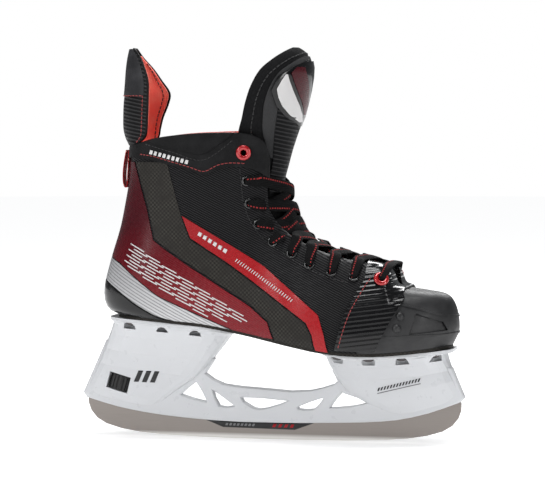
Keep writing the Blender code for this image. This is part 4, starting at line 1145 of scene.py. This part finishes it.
def make_guard():
    rows = smooth(GUARD_ROWS, 4)
    shell = guard_layer("guard_shell", rows, -1, 1, 0.0, 2.6, "guard_ribs", 0.7)
    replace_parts(shell, "tendon_guard")
    lining = guard_layer("guard_lining", rows[:-3], -0.96, 0.96, 3.0, 3.0, "coral", 1.2)
    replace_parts(lining, "tendon_guard_liner")
    skirt = guard_layer(
        "guard_skirt", GUARD_SKIRT, -0.97, 0.97, 0.5, 1.8, "leather", 0.3, body=None
    )
    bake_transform(skirt)
    top = [r for r in rows if r[0] > 284]
    guard_layer("guard_top_panel", top, -0.93, 0.93, -0.05, 0.6, "grey_leather", 0.2, True)
    bm = bmesh.new()
    outline = [guard_point(r, -1, 0.8) for r in rows] + [guard_point(r, 1, 0.8) for r in rows[::-1]]
    tube(bm, outline, 1.1, 8)
    piece("guard_piping", bm, "leather", body="guard")
    paths = []
    for u in (-0.9, 0.9):
        line = [guard_point(r, u, -0.1) for r in rows if r[0] < 318]
        paths.append([
            (p, Vector((-0.5, 0.85 * (1 if u > 0 else -1), 0)).normalized()) for p in line
        ])
    row = min(rows, key=lambda r: abs(r[0] - 285.5))
    ring = [guard_point(row, u, -0.7) for u in np.linspace(-0.9, 0.9, 40)]
    paths.append([(p, (p - Vector((-100, 0, p.z))).normalized()) for p in ring])
    stitches("guard_stitching", paths, "red_thread", 2.2, 1.3, 0.35, body="guard")
    inner = []
    for u in (-0.82, 0.82):
        line = [guard_point(r, u, 6.0) for r in rows[:-5]]
        inner.append([(p, (Vector((-95, 0, p.z)) - p).normalized()) for p in line])
    stitches("lining_stitching", inner, "dark_thread", 2.4, 1.2, 0.4, body="guard")

    bm = bmesh.new()
    across = np.linspace(-5, 5, 5)
    fill_grid(bm, [[bm.verts.new((x, y, z)) for y in across] for x, z in smooth(TAPE_LOOP, 4)])
    face(bm)
    tab = piece("heel_tape", bm, "tape", wall=0.9, round_edges=0.2)
    tab.modifiers["wall"].offset = 0.0
    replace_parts(tab, "heel_pull_tab")


# ---------------------------------------------------------------- lace


def throat_edge(k, side, above):
    """The place on the throat's edge next to eyelet k, this far above the shell."""
    x, z = EYELETS[k]
    tops = [Vector(rib_point(rib, 1.0)) for rib in RIBS[7:17]]
    edges = [low.lerp(high, t) for low, high in zip(tops, tops[1:]) for t in (0, 0.25, 0.5, 0.75)]
    edge = min(edges, key=lambda e: abs(e.x - x) + abs(e.z - z))
    edge = Vector((edge.x, side * edge.y + toe_shift(edge.x), edge.z))
    seat, seat_normal, _ = SEATS[side, k]
    _, edge_normal, _, _ = BOOT.find_nearest(edge.lerp(seat, 0.15))
    if edge_normal.dot(seat_normal) < 0:
        edge_normal = -edge_normal
    normal = (seat_normal + edge_normal).normalized()
    return edge + normal * above + (edge - seat).normalized() * 1.2


def lace_route():
    """(place, outward direction, width class) along the lace, from the ninth eyelet of the outer
    side down to the toe and up to the ninth of the inner side."""
    inner = [s[0] for s in STATIONS]

    def front(x, z, above):
        near = min(range(1, len(inner) - 1), key=lambda i: (inner[i] - Vector((x, z))).length)
        along = (inner[near + 1] - inner[near - 1]).normalized()
        foot = inner[near] + along * (Vector((x, z)) - inner[near]).dot(along)
        inward = Vector((-along.y, along.x))
        flat = foot - inward * above
        return Vector((flat.x, toe_shift(flat.x), flat.y)), Vector((-inward.x, 0, -inward.y))

    def through(side, k):
        place, normal, lift = SEATS[side, k]
        towards = (Vector((place.x, 0, place.z)) - place).normalized()
        return [
            (place + normal * (lift + 3.4) + towards * 1.5, normal, 2.1),
            (place + normal * (lift + 1.0), towards, 1.5),
            (place - normal * (SHELL_WALL + 2.0), towards, 1.6),
        ]

    def crossing(k, side):
        normal = SEATS[side, k][1]
        far, far_normal, _ = SEATS[-side, k + 1]
        arch = (0, 0, 0, 0, 1.0, 2.2, 3.6, 1.6)[k]
        leave = throat_edge(k, side, -(SHELL_WALL + 1.3))
        enter = throat_edge(k + 1, -side, 3.0 + arch)
        above = 7.0 if side < 0 else 9.4
        mid, outward = front((leave.x + enter.x) / 2, (leave.z + enter.z) / 2, above)
        made = [
            (leave, normal.lerp(outward, 0.4), 2.6),
            (mid, outward, 3.3),
            (enter, far_normal.lerp(outward, 0.4), 3.2),
        ]
        goal = far + far_normal * 4.0
        for t, wide in ((0.35, 3.1), (0.75, 2.6)):
            place, way, _, _ = BOOT.find_nearest(enter.lerp(goal, t))
            if way.dot(far_normal) < 0:
                way = -way
            made.append((place + way * (arch * (1 - t) + 2.4), way, wide))
        return made

    def climb(side):
        route = through(side, 0)
        for k in range(len(EYELETS) - 2):
            route += crossing(k, side)
            side = -side
            route += through(side, k + 1)
        return route

    bar = []
    for side in (-1, 1):
        seat, normal, lift = SEATS[side, 0]
        edge = throat_edge(0, side, lift + 3.0)
        half = [
            (seat.lerp(edge, 0.55) + normal * (lift + 2.6), normal, 2.6),
            (edge, normal.lerp(Vector((0, 0, 1)), 0.6), 3.2),
        ]
        bar += half if side < 0 else half[::-1]
    return climb(-1)[::-1] + bar + climb(1)


def make_lace():
    """A flat woven lace that narrows where an eyelet gathers it."""
    table = smooth([(*p, *n, w) for p, n, w in lace_route()], 6)
    bm = bmesh.new()
    marks = bm.verts.layers.float.new("along")
    places = bm.verts.layers.float.new("across")
    cross = [(-1, 0), (-0.8, 0.8), (0, 1), (0.8, 0.8), (1, 0), (0.8, -0.8), (0, -1), (-0.8, -0.8)]
    rings, gone = [], 0.0
    for i, row in enumerate(table):
        place = Vector(row[:3])
        before = Vector(table[max(i - 1, 0)][:3])
        after = Vector(table[min(i + 1, len(table) - 1)][:3])
        if i:
            gone += (place - before).length
        along = (after - before).normalized()
        out = Vector(row[3:6])
        out = (out - along * out.dot(along)).normalized()
        side = along.cross(out)
        if rings and side.dot(last_side) < 0:
            side, out = -side, -out
        last_side = side
        half = max(row[6] * 1.75 - 0.4, 1.4)
        thick = 0.85 + 0.4 * max(0, 2.4 - row[6])
        ring = []
        for a, b in cross:
            v = bm.verts.new(place + side * half * a + out * thick * b)
            v[marks], v[places] = gone, a
            ring.append(v)
        rings.append(ring)
    fill_grid(bm, rings, closed=True)
    bm.faces.new(rings[0][::-1])
    bm.faces.new(rings[-1])
    face(bm)
    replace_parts(piece("flat_lace", bm, "lace", smooth_level=1), "lace")


# ---------------------------------------------------------------- holder and steel


def make_rivets():
    """Domed heads over the CAD pins."""
    bm = bmesh.new()
    names = []
    rows = [(x, s * REAR_RIVETS_Y) for x in REAR_RIVETS_X for s in (-1, 1)]
    rows += [
        (x, s * h + toe_shift(x)) for x, h in zip(FRONT_RIVETS_X, FRONT_RIVETS_Y) for s in (-1, 1)
    ]
    for i, (x, y) in enumerate(rows):
        low = base_z(x) - PLATE_WALL - 0.4
        slope = math.atan2(base_z(x + 4) - base_z(x - 4), 8.0)
        place = Matrix.Translation((x, y, low)) @ Matrix.Rotation(-slope, 4, "Y")
        turn_profile(bm, RIVET_PROFILE, 24, place)
        names.append(f"rivet_{'rear' if x < 0 else 'front'}_{i + 1 if x < 0 else i - 5}")
    bmesh.ops.remove_doubles(bm, verts=bm.verts, dist=0.005)
    face(bm)
    made = piece("rivet_heads", bm, "rivet")
    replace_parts(made, *names)


def make_holder_print():
    """Plain shapes printed on the towers and the steel."""
    holder, runner = (
        BVHTree.FromBMesh(mesh_of(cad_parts[name])) for name in ("blade_holder", "runner")
    )
    wide = bars((-117, 46.5), (-96, 46.0), 3, 10.5, 0.45, 0.6)
    thin = bars((90, 43), (126, 52), 14, 3.2, 0.4, 0.55)
    decal("tower_print", wide + thin, "print", holder, 0.1)
    line = [((90, 40.8), (126, 49.8), (126, 50.5), (90, 41.5))]
    decal("tower_line", line, "grey_print", holder, 0.1)
    panel = [((-42, 9.3), (19.4, 8.4), (37.2, 15.0), (-57.4, 15.4))]
    decal("runner_print", panel, "print", runner, 0.04, 0.08, "blade")
    marks = bars((-40, 10.8), (-14, 10.6), 8, 2.2, 0.4, 0.6)
    decal("runner_marks", marks, "grey_print", runner, 0.14, 0.06, "blade")
    red_marks = bars((0, 10.2), (20, 10.0), 4, 3.2, 0.5, 0.5)
    decal("runner_red_marks", red_marks, "red", runner, 0.14, 0.06, "blade")


def paint_cad_nodes():
    for node, paint in (
        ("blade_holder", "nylon"), ("runner", "steel"), ("outsole", "composite"),
        ("lock_wheel", "wheel"), ("lock_hook", "rivet"),
    ):
        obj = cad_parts[node]
        for slot in obj.material_slots:
            slot.material = PAINT[paint]


# ---------------------------------------------------------------- camera, floor and light


def make_stage():
    """A wide pale floor, a little self-lit so that it meets the surroundings without a line."""
    bm = bmesh.new()
    rings = []
    for r in (0.001, 0.3, 0.8, 1.6, 3.0, 6.0):
        rings.append([
            bm.verts.new((r * math.cos(a), r * math.sin(a), -0.0002))
            for a in np.linspace(0, 2 * math.pi, 64, endpoint=False)
        ])
    fill_grid(bm, rings, closed=True)
    face(bm)
    floor = add_object("pale_floor", bm, 1.0)
    paper = Paint("pale_paper", (0.82, 0.82, 0.82), 1.0)
    away = paper.node("ShaderNodeVectorMath", {0: paper.place}, operation="LENGTH").outputs["Value"]
    paper.put("Emission Color", (1.0, 1.0, 1.0, 1.0))
    paper.put("Emission Strength", paper.ramp(away, 0.3, 1.6, 0.45, 0.85))
    floor.data.materials.append(paper.mat)


def area_light(name, place, size, watts):
    """A white rectangular light aimed at the skate's middle."""
    data = bpy.data.lights.new(name, "AREA")
    data.shape = "RECTANGLE"
    data.size, data.size_y = size
    data.energy = watts
    lamp = bpy.data.objects.new(name, data)
    bpy.context.scene.collection.objects.link(lamp)
    lamp.location = place
    lamp.rotation_euler = (Vector((0, 0, 0.15)) - Vector(place)).to_track_quat("-Z", "Y").to_euler()


def make_light():
    """Large soft lights in dim surroundings that look white behind the skate."""
    world = bpy.data.worlds.new("pale_surroundings")
    world.use_nodes = True
    nodes, links = world.node_tree.nodes, world.node_tree.links
    seen = nodes["Background"]
    seen.inputs["Color"].default_value = (1.0, 1.0, 1.0, 1.0)
    soft = nodes.new("ShaderNodeBackground")
    soft.inputs["Color"].default_value = (0.93, 0.96, 1.0, 1.0)
    soft.inputs["Strength"].default_value = 0.15
    path, mix = nodes.new("ShaderNodeLightPath"), nodes.new("ShaderNodeMixShader")
    links.new(path.outputs["Is Camera Ray"], mix.inputs[0])
    links.new(soft.outputs[0], mix.inputs[1])
    links.new(seen.outputs[0], mix.inputs[2])
    links.new(mix.outputs[0], nodes["World Output"].inputs["Surface"])
    scene = bpy.context.scene
    scene.world = world
    scene.view_settings.view_transform = "Standard"
    area_light("overhead", (0.1, -0.1, 1.6), (1.0, 0.5), 17)
    area_light("key", (-0.9, -1.3, 0.9), (0.3, 0.8), 11)
    area_light("fill", (1.3, -0.8, 0.5), (0.25, 0.8), 5)
    area_light("rim", (0.2, 1.6, 1.1), (1.2, 0.4), 12)


def make_camera():
    """A long lens, twelve degrees round from square-on towards the toe."""
    turn, tilt, away = math.radians(12), math.radians(3), 2.2
    target = Vector((0, 0, 0.162))
    data = bpy.data.cameras.new("camera")
    data.lens = 175.0
    data.sensor_width = 36.0
    camera = bpy.data.objects.new("camera", data)
    bpy.context.scene.collection.objects.link(camera)
    level = math.cos(tilt)
    way = Vector((math.sin(turn) * level, -math.cos(turn) * level, math.sin(tilt)))
    camera.location = target + away * way
    camera.rotation_euler = (target - camera.location).to_track_quat("-Z", "Y").to_euler()
    bpy.context.scene.camera = camera


make_camera()
make_stage()
make_light()
paint_cad_nodes()
make_boot()
make_toe_cap()
make_stitching()
make_eyelets()
make_footbed()
make_tongue()
make_guard()
make_lace()
make_rivets()
make_boot_print()
make_holder_print()
